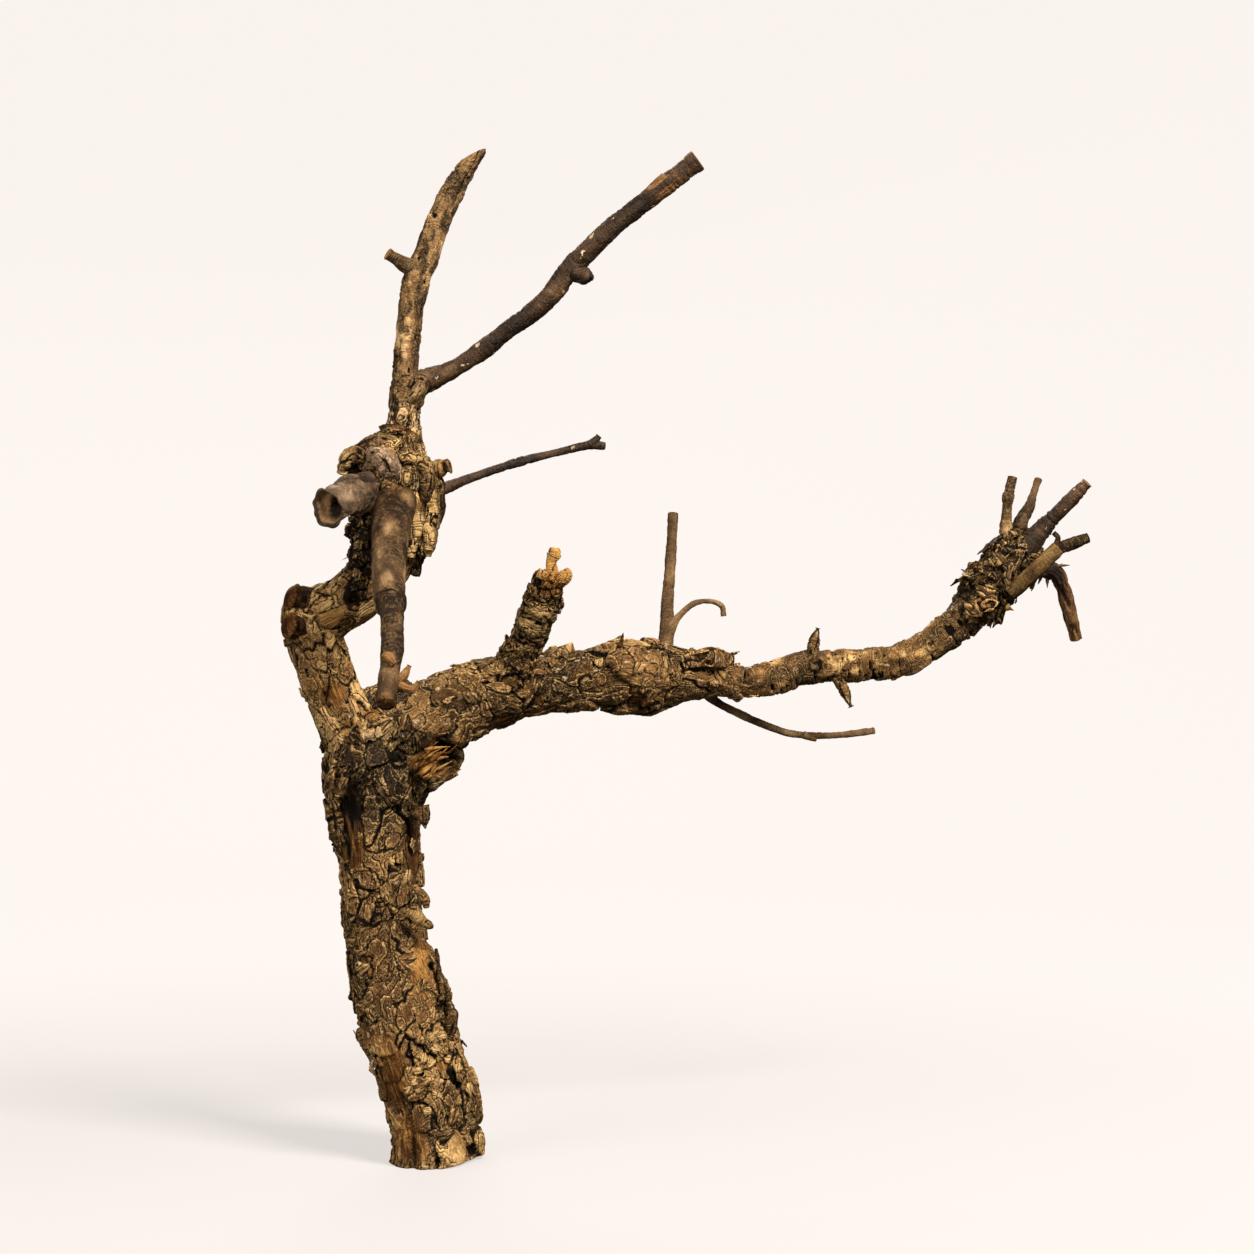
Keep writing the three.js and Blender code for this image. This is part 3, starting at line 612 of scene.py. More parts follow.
# %% Trunk: loose strip and shards
strip_route = [
    (-30.5, -3, 126, 3.4), (-31.5, -6, 115.5, 3.6), (-31, -7, 104.5, 3.2), (-29.6, -6, 95.5, 2.6),
    (-27.8, -5, 89, 1)
]
strip = tube(strip_route, 44, spacing=0.5, front=(-1, -0.6, 0), flat=1.3, depth=0.9)
strip_height, strip_marks = old_bark(strip, plate=6, rough=1.6, seed=140)
planks = layered_noise(strip["straight"] * [1, 1, 0.08], 2.2, 2, 145)
strip_height += 0.7 * planks
open_cracks(strip_marks, np.exp(-(((planks - 0.1) / 0.16) ** 2)))
strip_marks["dirt_and_shade"] = 0.45 + 0.25 * ease(planks, -0.3, 0.3)
trunk_parts = []
for number, (route, wide, dark, tone) in enumerate((
    ([(-0.5, -2, 44, 2.4), (0.6, -3, 51, 1.9), (0.2, -3.6, 58, 1.2), (-0.7, -4, 64.4, 0.35)], 0.8, 0.55, 0.3),
    ([(2.5, -3, 36, 2.6), (3.8, -4, 44, 1.9), (3, -4.6, 50, 1.2), (2.2, -5, 54.3, 0.4)], 0.8, 0.45, 0.4),
    (
        [
            (-9, -12.6, 77.2, 0.7), (-6.4, -12.4, 75.4, 1.0), (-4, -11, 73.4, 0.8), (-2.2, -10, 72.2, 0.7),
            (-1.2, -9.5, 71.6, 0.35)
        ],
        1.4, 0.15, 0.4
    ),
    ([(-9.8, -13, 84.3, 0.5), (-8.6, -14.2, 87, 0.7), (-8.2, -13.6, 89.5, 0.4)], 1.7, 0.1, 0.75),
    (
        [(-7, -9, 84, 1.0), (-5.2, -9.4, 82, 1.3), (-3.6, -9, 79.8, 1.1), (-3.4, -8.5, 77.5, 0.7)], 1.1, 0.25,
        0.3
    ),
    ([(-5, -7, 108, 2.2), (-4.2, -7, 104.5, 1.4), (-3.7, -7, 101.3, 0.3)], 1.0, 0.5, 0.3),
)):
    shard = tube(route, 32, spacing=0.35, flat=wide, front=(0.3, -1, 0.1), end=ROUND_END)
    shard_height, shard_marks = young_bark(shard, wrinkle=0.25, groove=0.45, lumps=0.7, seed=150 + number)
    # Painted shade on the shard's sides and back, which face the trunk.
    shard_marks["dirt_and_shade"] = np.clip(dark + 0.6 * ease(shard["out"][..., 1], -0.7, 0.1), 0, 1)
    shard_marks["tone"] = shard_marks["tone"] - 0.5 + tone
    trunk_parts.append(skin_part(shard, shard_height * np.clip(shard["radius"], 0, 1), shard_marks))
make_piece("trunk", "rough_bark", [
    skin_part(trunk, height, marks),
    skin_part(strip, strip_height, strip_marks),
    flakes(
        trunk, height, marks, 100, 3.6, 0.9, 11,
        where=(1 - 0.9 * bare_wood) * ease(trunk["skin"][..., 2], 3, 6)
    ),
    flakes(trunk, height, marks, 45, 2.3, 0.8, 12, where=spot(trunk, -0.5, 31, 5.5, 9), pale=0.5),
    *trunk_parts,
])

# %% [markdown]
# ## The crooked limb and its burl
# This limb climbs to the left, turns back at an elbow and swells into a burl, a knotted lump where many buds
# grew. One tube can't turn so sharply without folding into itself, so it is two tubes that cross at the elbow,
# and a third for the burl. Two round scars on the elbow show where side branches fell off.

# %% Crooked limb: tubes
lower_route = [
    (-20.5, 2, 118.5, 12), (-27, -1, 131.5, 10), (-32.5, -3, 142.5, 8.6), (-36, -5, 153, 8.9),
    (-38.5, -6, 161.5, 9),
    (-39.5, -6.5, 168, 8), (-39.5, -6.5, 172, 5.5),
]
upper_route = [
    (-42, -6, 162.5, 6.5), (-36, -7, 165.5, 8.8), (-28, -9, 170, 8.9), (-19, -10, 177.5, 9.4),
    (-14.5, -10, 188.5, 11)
]
burl_route = [
    (-16, -10, 181.5, 8), (-14.5, -10, 191.5, 12.3), (-14, -10, 203, 14.3), (-13.5, -9, 212.5, 12),
    (-11.5, -8, 220.5, 7)
]
lower = tube(lower_route, 130, end=ROUND_END)
upper = tube(upper_route, 130, end=ROUND_END)
burl = tube(burl_route, 180, end=ROUND_END)
print("rings of the three tubes:", [len(limb["skin"]) for limb in (lower, upper, burl)])

# %% [markdown]
# ## Black hollow, scars and hole
# The inner side of the bend is black and crumbly, two scars are worn smooth, and a hole is sunk into the burl
# and painted black as shade. These are spots of the front view, so they land on whichever of the three tubes
# lies there, and one loop dresses all three. The upper part of the burl is gnarled, and plates mix into it
# further down.

# %% Crooked limb: weathering
parts = []
for limb, seed, plate, rough in ((lower, 200, 8.0, 0.6), (upper, 230, 8.0, 0.6), (burl, 260, 7.5, 1.4)):
    height, marks = old_bark(
        limb, plate=plate, rough=rough, loose=0.05 * (limb is not burl), longer=0.6, seed=seed
    )
    marks["edge"] = marks["edge"] + 0.06
    if limb is burl:
        gnarl_height, gnarl_marks = gnarled(limb, 5.0, 265)
        upper_part = ease(limb["skin"][..., 2] + 4 * noise(limb["straight"], 6, 266), 200, 209)
        height = height * (1 - upper_part) + 1.4 * gnarl_height * upper_part
        height += 1.6 * layered_noise(limb["straight"], 8, 2, seed + 95)
        marks = mix_marks(marks, gnarl_marks, upper_part)
    # A black, crumbly patch on the inner side of the bend.
    blackened = np.clip(
        1.2 * spot(limb, -23, 181, 5, 11) + 1.2 * spot(limb, -21, 190, 5, 9)
        + 0.7 * spot(limb, -24.5, 171, 3, 4),
        0, 1
    )
    blackened = ragged(limb, blackened, seed + 96)
    scars = spot(limb, -31, 142, 4.5, 4) + spot(limb, -25.5, 131, 3, 3)
    # The hole is sunk and painted black: painted shade in its depth.
    hole = spot(limb, -23.4, 209.2, 3.4, 2.5)
    marks["tone"] = marks["tone"] - 0.28 * (limb is burl) + 0.15 * spot(limb, -36, 164, 10, 8)
    height += -5 * hole - 0.5 * scars + blackened * layered_noise(limb["straight"], 2.2, 2, seed + 97)
    grime = layered_noise(limb["straight"], 5, 3, seed + 98)
    marks["dirt_and_shade"] = np.clip(
        1.5 * blackened - 0.3 * ease(grime, 0.2, 0.6) + 1.8 * hole
        + 0.7 * (limb is burl) * ease(grime, 0.05, 0.5),
        0, 1
    )
    # Painted shade on the burl: behind the hanging flaps and in a band under the folds.
    marks["dirt_and_shade"] = np.maximum(
        marks["dirt_and_shade"],
        (limb is burl) * 0.75 * np.clip(spot(limb, -4, 198, 7, 16) + spot(limb, -15, 206, 6, 2), 0, 1)
    )
    if limb is not burl:
        veins = layered_noise(
            limb["straight"] * [1, 1, 0.7] + 2 * swirl(limb["straight"], 4, seed + 92), 6, 2, seed + 93
        )
        open_cracks(marks, np.exp(-((veins / 0.05) ** 2)))
    # Darker low on this limb, where it leaves the trunk, with whole plates darker.
    if limb is lower:
        marks["dirt_and_shade"] = np.maximum(
            marks["dirt_and_shade"],
            (0.55 + 0.25 * dark_plates(marks, grime)) * ease(3 * grime - limb["skin"][..., 2], -133, -127)
        )
    marks["bare"] = np.clip(np.maximum(marks["bare"], scars + 0.7 * blackened + hole), 0, 1)
    marks["tone"] = np.clip(
        marks["tone"] + 0.27 * (limb is not burl) + 0.2 * (limb is upper) + 0.3 * spot(limb, -15, 212, 5, 4),
        0, 1
    )
    parts += [skin_part(limb, height, marks), flakes(limb, height, marks, 30, 3.0, 0.8, seed + 1)]
    if blackened.max() > 0.5:
        parts.append(flakes(limb, height, marks, 40, 2.2, 1.2, seed + 2, where=blackened))
print("parts of the crooked limb so far:", len(parts))

# %% [markdown]
# ## Knots and flaps
# Two round knots on the elbow show where side branches fell off. A flap of bark hangs down the right of the
# burl in several folds, so it is five flat tubes side by side, pale in front and painted dark as shade where
# they turn away.

# %% Crooked limb: knots and flaps
for route in (
    [(-38, -8, 169, 4.6), (-42.4, -11, 170.6, 4.4), (-43.6, -11.8, 171, 4)],
    [(-38, -8, 161.5, 4.8), (-42.6, -12, 162.6, 4.8), (-43.8, -13, 162.9, 4.4)]
):
    paint = lambda limb, height, marks: {"bare": 0.7, "dirt_and_shade": 0.3 + 0.4 * (1 - limb["cut"])}
    parts.append(growth(route, 56, (0.4, 0, 0.9), 280, paint, spacing=0.35, front=(0, 0, 1), end=ROUND_END))
FLAP_TONE = (0.5, 0.35, 0.1, 0.65, 0.6)
for number, (route, wide) in enumerate((
    (
        [
            (-4, -13, 213, 1.3), (-1.2, -15.5, 206, 1.6), (-0.8, -16, 197, 1.8), (-2.2, -15.5, 189, 1.6),
            (-3.6, -15, 184, 1.0)
        ],
        1.7
    ),
    ([(-6, -17, 207, 1.2), (-5, -19, 200, 1.5), (-5.6, -18.5, 191, 1.3), (-7, -17, 183.5, 0.8)], 1.8),
    (
        [
            (-3, -10, 211, 1.5), (-0.6, -11, 205, 2.0), (-1.2, -12, 196, 2.2), (-4, -12, 186, 1.7),
            (-6.6, -11, 178, 0.9)
        ],
        1.4
    ),
    ([(1.2, -13, 207, 0.7), (-2, -17, 203, 1.0), (-5.5, -19, 197, 0.9), (-7.5, -18.5, 190, 0.6)], 1.6),
    ([(-2.6, -17, 193, 1.2), (-1.6, -17.6, 189.5, 1.9), (-2, -17, 186, 1.5)], 1.2),
)):
    # Painted shade on each flap's sides and back, where it turns away from the front.
    paint = lambda limb, height, marks: {
        "tone": marks["tone"] + FLAP_TONE[number],
        "dirt_and_shade": np.clip(0.35 * (number == 2) + 0.8 * ease(limb["out"][..., 1], -0.75, -0.1), 0, 1),
    }
    shape = dict(spacing=0.4, front=(0.7, -0.7, 0), flat=wide, end=ROUND_END)
    parts.append(growth(route, 60, (0.2, 0.4, 0.9), 290 + 3 * number, paint, **shape))
print("parts with knots and flaps:", len(parts))

# %% [markdown]
# ## Folds over the burl
# Growing wood rolls over a wound in thick folds, with painted shade on their undersides. Some lie on the front
# of the burl, one makes a brow over the hole, and the last is a black lump of painted shade that stands for the
# depth of that hole. A bud and two torn threads finish the limb.

# %% Crooked limb: folds, bud and threads
# Tone, darkening and grey of each fold; the last fold is the black lump of painted shade in the hole.
FOLD_TONE = (-0.1, 0.3, 0.35, -0.1, 0.1, 0.2, -0.5)
FOLD_DIRT_AND_SHADE = (0.3, 0.05, 0.0, 0.45, 0.2, 0.1, 1.0)
FOLD_GREY = (0.2, 0.6, 0.0, 0.0, 0.4, 0.0, 0.0)
for number, route in enumerate((
    [
        (-28, -14, 212.4, 1.2), (-24.4, -17.5, 215, 2.0), (-19, -18.5, 216.8, 2.6),
        (-13.5, -17.5, 217.4, 2.4), (-9.5, -16.5, 214, 1.3)
    ],
    [(-19, -20, 214, 1.6), (-15.6, -23, 212.6, 3.0), (-12.6, -23.6, 208.8, 2.6), (-11.6, -22.6, 205.2, 1.0)],
    [(-8.5, -16, 214, 1.6), (-5, -16, 212.5, 2.1), (-3.4, -14.5, 209, 1.5)],
    [(-6.4, -16, 210.6, 1.5), (-3.4, -17.4, 206.8, 2.9), (-3.6, -17.6, 201.6, 2.5), (-6, -17, 196.6, 1.2)],
    [(-20.4, -18.6, 206, 1.0), (-19.6, -20.4, 209.4, 1.6), (-17.8, -21.4, 211.6, 1.2)],
    [
        (-27.4, -17, 208.4, 1.2), (-26.6, -18.4, 211.6, 2.1), (-23.6, -19.6, 213.6, 2.5),
        (-20.9, -20.2, 212.2, 1.9), (-20, -20, 209.8, 1.2)
    ],
    [(-26.2, -14.5, 208, 2.2), (-23, -16, 208.4, 3.0), (-19.5, -16.5, 208, 2.6)],
)):
    # Painted shade on each fold's underside and back.
    under = lambda limb: ease(limb["out"][..., 1] - 0.5 * limb["out"][..., 2], -0.6, 0.3)
    paint = lambda limb, height, marks: {
        "tone": 0.5 + 1.4 * (marks["tone"] - 0.5) + FOLD_TONE[number],
        "dirt_and_shade": np.clip(FOLD_DIRT_AND_SHADE[number] + 0.8 * under(limb), 0, 1),
        "grey": FOLD_GREY[number],
        "bare": 0.7 * (number == 6),
    }
    parts.append(growth(route, 56, (0.3, 0.5, 1.1), 284 + number, paint, spacing=0.4, end=ROUND_END))
bud_route = [(-4, -10, 209.5, 2.4), (1, -11.5, 210.3, 1.8), (4.3, -12, 211, 1.2)]
parts.append(growth(bud_route, 36, (0.5, 0, 0.8), 295, spacing=0.35))
roots, ways = [(-23, -14, 185), (-22.5, -15, 190)], [(-1, -0.1, -0.5), (-1, 0, 0.3)]
parts.append(splinters(roots, ways, [6, 3.5], [0.35, 0.4], 21, dark=0.9))
make_piece("crooked_limb", "rough_bark", parts)

# %% [markdown]
# ## The right arm
# The arm is thick and plated near the fork and thin and wrinkled further out, so both kinds of bark are worked
# out for the whole arm and mixed by the distance along it. Round eyes mark old twigs. At its far end it swells
# into a dark knot, flaky as a pine cone, that carries the fingers.

# %% Right arm: tube and mixed bark
arm_route = [
    (-17, 2, 126.5, 15), (-6, 3, 132, 13.8), (6.5, 5, 138.5, 11.8), (20, 8, 142.5, 11), (32, 11, 144.5, 10.2),
    (44.5, 15, 146, 10.4), (55.5, 18, 147, 11.6), (65.5, 22, 146.5, 11.8), (76, 25, 146.5, 9.2),
    (84.5, 28, 145.5, 6.7),
    (95, 31, 145, 5.3), (106.5, 34, 147, 5.3), (114.5, 36, 149.5, 5.6), (124.5, 38, 150, 5.1),
    (144, 42, 151.2, 5.3),
    (151.3, 43, 153.8, 5.5), (160, 45, 159.7, 5.8), (167, 46, 165.7, 6.1), (173.5, 47, 173, 8.2),
    (180, 47, 181.5, 9.6),
    (184.5, 47, 188, 8), (187, 47, 193, 4.5),
]
arm = tube(arm_route, 132, spacing=0.48, depth=0.9, end=ROUND_END)
old_height, old_marks = old_bark(arm, plate=10.0, longer=0.9, seed=300)
knot_height, knot_marks = old_bark(arm, plate=5, rough=1.2, longer=0.5, seed=330)
new_height, new_marks = young_bark(arm, wrinkle=0.5, lumps=0.5, seed=360)
nicks = noise(arm["straight"] * [0.35, 0.35, 1], 1.5, 365)
new_height -= 0.35 * ease(nicks, 0.5, 0.7)
open_cracks(new_marks, ease(nicks, 0.5, 0.68))
new_marks["tone"] = 0.36 + 1.3 * (new_marks["tone"] - 0.5)
x = arm["skin"][..., 0]
outer = ease(x + 5 * noise(arm["straight"], 8, 370), 80, 104)
hand = ease(x + arm["skin"][..., 2] + 6 * noise(arm["straight"], 6, 371), 335, 350)
height = (old_height * (1 - outer) + new_height * outer) * (1 - hand) + knot_height * hand
marks = mix_marks(mix_marks(old_marks, new_marks, outer), knot_marks, hand)
print("rings of the arm:", len(x), "of which outer:", int((outer.mean(1) > 0.5).sum()))

# %% [markdown]
# ## Eyes, torn wood and dark places
# An eye is a raised ring with a pit in it. Below the fork the wood is torn out, and its strands run up to the
# right, so their noise is drawn out in that slanting direction. A sunk cavity there is painted black as shade.
# Near the fork whole plates are dark, as on the trunk.

# %% Right arm: eyes, torn wood and damp
for eye_x, eye_z, wide in (
    (117.5, 151, 2.4), (140, 153.2, 2.2), (155.5, 156.6, 1.9), (165.5, 166.5, 2.3), (173.5, 170, 2.6),
    (95, 147, 1.8)
):
    away = np.hypot(x - eye_x, arm["skin"][..., 2] - eye_z) / wide
    facing = ease(-arm["out"][..., 1], 0, 0.4)
    height += facing * (0.8 * np.exp(-(((away - 0.85) / 0.3) ** 2)) - 0.7 * np.exp(-((away / 0.4) ** 2)))
    open_cracks(marks, facing * np.exp(-((away / 0.6) ** 2)))
    marks["dirt_and_shade"] = np.maximum(marks["dirt_and_shade"], 0.5 * facing * np.exp(-((away / 1.2) ** 2)))
torn = np.clip(spot(arm, 0.5, 122.5, 8, 7), 0, 1)
# A sunk cavity at the fork, painted black as shade below.
cavity = spot(arm, 2.2, 123.4, 3.4, 4.4)
scar = np.clip(spot(arm, 25.5, 147, 3.6, 4.5) + spot(arm, 61, 139, 3.5, 4), 0, 1)
SLANT = np.array([[0.75, 0, 0.12], [0.3, 1, 0.1], [-0.75, 0, 0.12]])
strands = layered_noise(arm["skin"] @ SLANT, 1.7, 2, 380)
height += torn * (1.3 * strands - 0.8) - 4 * cavity - 0.4 * scar
open_cracks(marks, torn * ease(-strands, 0.0, 0.5))
marks["bare"] = np.clip(np.maximum(marks["bare"], torn + scar), 0, 1)
patchiness = layered_noise(arm["straight"], 8, 3, 385)
# The cavity is painted black as shade; near the fork, on the knot and in patches the arm is darker.
marks["dirt_and_shade"] = np.clip(
    np.maximum(
        marks["dirt_and_shade"],
        1.4 * cavity + (0.38 + 0.32 * dark_plates(old_marks, patchiness) + 0.2 * patchiness) * spot(arm, -3, 134, 15, 14)
        + 0.4 * scar
    )
    + 0.35 * ease(patchiness, 0.25, 0.8) * (1 - outer) + 0.4 * spot(arm, -6, 122, 9, 9) * ease(patchiness, -0.5, 0.4)
    + hand * (0.72 + 0.3 * patchiness) + 0.9 * spot(arm, 168, 174, 5, 4.5), 0, 1)
marks["tone"] = np.clip(
    marks["tone"] + 0.1 * spot(arm, 150, 154, 14, 9) - 0.1 * spot(arm, 48, 152, 18, 8) - 0.05 * outer, 0, 1
)
parts = [
    skin_part(arm, height, marks),
    flakes(arm, height, marks, 110, 3.6, 0.9, 31, where=(1 - outer) * (1 - 0.8 * torn)),
    flakes(
        arm, height, {"dirt_and_shade": 0.95 * hand}, 100, 4.4, 1.5, 32, pale=-0.15,
        where=hand * (1 - 0.9 * spot(arm, 168, 173, 5, 5)), stray=0.7
    ),
]
print("share of the arm that is dark:", (marks["dirt_and_shade"] > 0.4).mean().round(3))

# %% [markdown]
# ## Lumps on the arm
# A flat ridge lies on the thick part of the arm, two swellings fill the fork, and two more widen the far knot.
# They are short tubes with old bark. They carry on the torn wood of what they lie on, because its strands are
# worked out from the same places, and the black painted shade of the cavity; near the fork their plates are
# dark as on the arm, and on the far knot they are dark like the knot.

# %% Right arm: lumps
for route, around, wide, leaves in (
    ([(75, 17, 151, 0.8), (83, 19, 153, 1.0), (91, 22, 152, 0.7)], 70, 3.2, 4),
    ([(-14, 2, 112, 7.5), (-6, 3, 119, 8.2), (0, 4, 127, 9)], 110, 1, 14),
    ([(-21, 2, 134, 8.5), (-15, 2.5, 136.5, 8.7), (-9, 3, 139, 8.5)], 100, 1, 14),
    ([(178, 45, 177.5, 4.5), (171, 43, 178.5, 3.2), (167.5, 42, 179, 1.2)], 60, 1, 60),
    ([(176, 46, 171.5, 4.5), (174, 41, 170.5, 3.8), (173, 38.5, 170, 2.6)], 50, 1, 8),
):
    lump = tube(route, around, spacing=0.42, flat=wide, end=ROUND_END, front=(0.1, -1, 0.3))
    lump_height, lump_marks = old_bark(lump, plate=7, rough=1.1, seed=390 + around)
    far = ease(lump["skin"][..., 0], 150, 165)
    patchiness = layered_noise(lump["skin"], 7, 3, 398)
    fork = (1 - far) * ease(-lump["skin"][..., 0], -30, -10)
    # Painted shade: the fork's cavity is black on the lumps too.
    lump_marks["dirt_and_shade"] = np.clip(
        0.75 * far + 1.5 * spot(lump, 2.4, 123.6, 3.4, 4.6)
        + fork * (0.5 + 0.28 * dark_plates(lump_marks, patchiness) + 0.2 * patchiness),
        0, 1
    )
    lump_marks["grey"] = 0.7 * fork * ease(patchiness, -0.3, 0.3)
    lump_torn = np.clip(1.2 * spot(lump, 0.5, 122.5, 7, 6.5), 0, 1)
    strands = layered_noise(lump["skin"] @ SLANT, 1.7, 2, 380)
    lump_height += lump_torn * (1.3 * strands - 0.7) - 3 * spot(lump, 2.2, 123.4, 3.4, 4.2)
    lump_marks["bare"] = np.maximum(lump_marks["bare"], lump_torn)
    # Inside the torn place only the cavity's painted shade stays dark.
    lump_marks["dirt_and_shade"] = (
        lump_marks["dirt_and_shade"] * (1 - 0.7 * lump_torn)
        + np.clip(1.5 * spot(lump, 2.4, 123.6, 3.2, 4.2), 0, 1) * lump_torn
    )
    open_cracks(lump_marks, lump_torn * ease(-strands, 0.0, 0.5))
    parts += [
        skin_part(lump, lump_height, lump_marks),
        flakes(lump, lump_height, lump_marks, leaves, 3.2, 1.0 + 1.2 * far.mean(), around)
    ]
print("parts of the arm with its lumps:", len(parts))

# %% [markdown]
# ## Curl, spurs and strands
# A scroll of bark is rolled up on the far knot: a thin tube along a spiral. Two spurs stick out of the outer
# arm, splinters rise from the ridge, and flat strands cross the torn place.

# %% Right arm: small growths
turn = np.linspace(2.4, 2.4 + 3.1 * np.pi, 24)
wide = np.linspace(3.9, 0.6, 24) * (1 + 0.22 * np.sin(2 * turn + 0.6) + 0.1 * np.sin(5 * turn))
curl_route = np.column_stack([
    173.2 + wide * np.cos(turn), 37.2 - 0.25 * wide + 0.5 * np.sin(3 * turn),
    169.6 + 0.75 * wide * np.sin(turn), 0.42 + 0.16 * np.sin(4 * turn),
])
paint = lambda limb, height, marks: {"tone": marks["tone"] + 0.1}
parts.append(growth(curl_route, 14, (0.1, 0, 0.3), 397, paint, spacing=0.3, end=ROUND_END))
crest = splinters(
    [(55.2, 13, 156), (50.5, 12, 155.5), (179, 38, 169)], [(0.3, -0.1, 1), (0.6, -0.2, 0.5), (1, -0.3, -0.3)],
    [4.8, 3.5, 3], [1.8, 1.5, 1.2], 35, dark=0.5
)
parts.append(crest)
for route in (
    [(116, 36, 149.5, 2.6), (117, 34.5, 155, 1.6), (117.6, 33.5, 159, 1.2), (118.4, 33, 162, 1.0)],
    [(123.5, 37, 149, 2.2), (126, 35.5, 144, 1.4), (127.6, 34, 140.5, 1.15), (129, 33, 137, 1.1)]
):
    stain = lambda limb: ease(noise(limb["straight"] * [1, 1, 0.4], 2, 399), -0.3, 0.3)
    paint = lambda limb, height, marks: {"dirt_and_shade": 0.3 + 0.4 * stain(limb)}
    parts.append(growth(route, 40, (0.12, 0.4, 0.6), 396, paint, spacing=0.35))
chance = np.random.default_rng(33)
many = 22
roots = [chance.uniform(-7, 1, many), chance.uniform(-10.2, -8.2, many), chance.uniform(116, 125, many)]
ways = [chance.normal(0.75, 0.12, many), chance.normal(-0.06, 0.06, many), chance.normal(0.55, 0.2, many)]
roots, ways = np.column_stack(roots), np.column_stack(ways)
parts.append(splinters(roots, ways, chance.uniform(4, 8, many), chance.uniform(0.5, 1.0, many), 34, dark=0.2))
make_piece("right_arm", "rough_bark", parts)

# %% [markdown]
# ## The broken stub
# A branch snapped off here and left rings of folded bark and a torn golden crown. The crown is a shallow cup
# with splinters round it, the longest of which stands well above the rest.

# %% Broken stub
stub_route = [
    (17, 7, 138.5, 6.8), (22, 4, 147.5, 6.4), (26, 0, 157, 5.8), (29.6, -4, 165, 5.6), (32.2, -7, 172, 5.3),
    (34, -9.6, 177.5, 4.5)
]
CUP_END = [(0.97, 0.05), (0.86, 0.0), (0.6, -0.25), (0.3, -0.4)]
stub = tube(stub_route, 110, spacing=0.4, end=CUP_END)
height, marks = old_bark(stub, plate=6, rough=0.9, longer=1.5, seed=400)
folds = layered_noise(stub["straight"] * [0.25, 0.25, 1] + 0.8 * swirl(stub["straight"], 5, 410), 2.6, 2, 411)
height += 0.6 * np.abs(folds) - 0.3
marks["tone"] = marks["tone"] - 0.08
open_cracks(marks, np.exp(-((folds / 0.25) ** 2)))
top = ease(stub["along"], stub["along"].max() - 6, stub["along"].max() - 2.5)
marks["bare"] = np.maximum(marks["bare"] * 0.5, top)
marks["dirt_and_shade"] = 0.45 * (1 - top) * ease(stub["along"], 12, 26)
chance = np.random.default_rng(41)
many = 30
turn = chance.uniform(0, 2 * np.pi, many)
reach = 3.9 * np.sqrt(chance.uniform(0.2, 1, many))
right, back = reach * np.cos(turn), reach * np.sin(turn)
crown = np.column_stack([34 + right, -9.4 + 0.9 * back, 176.4 - 0.35 * right])
ways = np.column_stack([0.35 + 0.3 * np.cos(turn), -0.3 + 0.3 * np.sin(turn), np.full(many, 1.0)])
torn_parts = []
for route, wide in (
    (
        [
            (33.4, -9.6, 175.5, 1.1), (34.8, -9.2, 179, 0.9), (34.6, -9, 182, 0.6), (35.4, -9, 184.4, 0.8),
            (35.6, -9, 186.4, 0.5)
        ],
        1.6
    ),
    (
        [
            (36.5, -9.8, 175, 0.9), (38, -10.4, 176.4, 1.0), (38.8, -10.4, 178.2, 1.0),
            (38.2, -10.2, 179.6, 0.6)
        ],
        1.8
    ),
    ([(31.5, -10.5, 175.5, 0.9), (31.6, -11.6, 177.6, 0.8), (32.4, -12, 179.4, 0.4)], 1.5),
):
    # The tone rises with the height: painted shade on the low parts of the torn wood.
    paint = lambda limb, height, marks: {"bare": 0.9, "tone": 0.6 + 0.8 * height}
    shape = dict(spacing=0.3, flat=wide, front=(0.2, -1, 0))
    torn_parts.append(growth(route, 36, (0.3, 0.6, 0.8), 430, paint, **shape))
make_piece("broken_stub", "rough_bark", [
    skin_part(stub, height, marks),
    flakes(stub, height, marks, 26, 2.6, 0.8, 42),
    splinters(crown, ways, chance.uniform(1.2, 3.2, many), chance.uniform(0.6, 1.3, many), 43),
    *torn_parts,
])

# %% [markdown]
# ## The hollow stub
# A short hollow stub leaves the burl at the front. Its end is a curled ring of bark round a hole, so its last
# rows turn inwards and go back down inside, where one side and the bottom are painted dark as shade. A sheet
# of bark lies along its upper side.

# %% Side stub
side_route = [
    (-13, -10, 203.5, 8.4), (-18.4, -20, 202.4, 6.6), (-23.5, -28, 201, 5.3), (-28.4, -40, 197.2, 4.7)
]
inward = [
    (1.05, 0.05), (1.08, 0.14), (1.06, 0.22), (1.0, 0.26), (0.92, 0.22), (0.86, 0.12), (0.8, 0.0),
    (0.68, -0.06), (0.54, -0.08),
    (0.4, -0.1), (0.3, -0.25), (0.22, -0.5), (0.1, -0.7),
]
side = tube(side_route, 96, spacing=0.4, front=(0, 0, 1), end=inward)
height, marks = young_bark(side, wrinkle=0.15, lumps=1.3, seed=500)
lip = ease(side["along"], side["along"].max() - 4, side["along"].max())
wobble = lip * (
    0.8 * np.sin(2 * side["angle"] + 1) + 0.4 * np.sin(3 * side["angle"])
    + 0.6 * noise(side["straight"], 3, 505)
)
deep = np.zeros(height.shape)
deep[-len(inward):] = ease(np.arange(len(inward)), 3, len(inward) - 3)[:, None]
height = (height + wobble) * (1 - 0.8 * deep)
side["skin"] = side["skin"] + deep[..., None] * [1.2, 0, 1.2]
inside = side["cut"] * ease(deep, 0.02, 0.2)
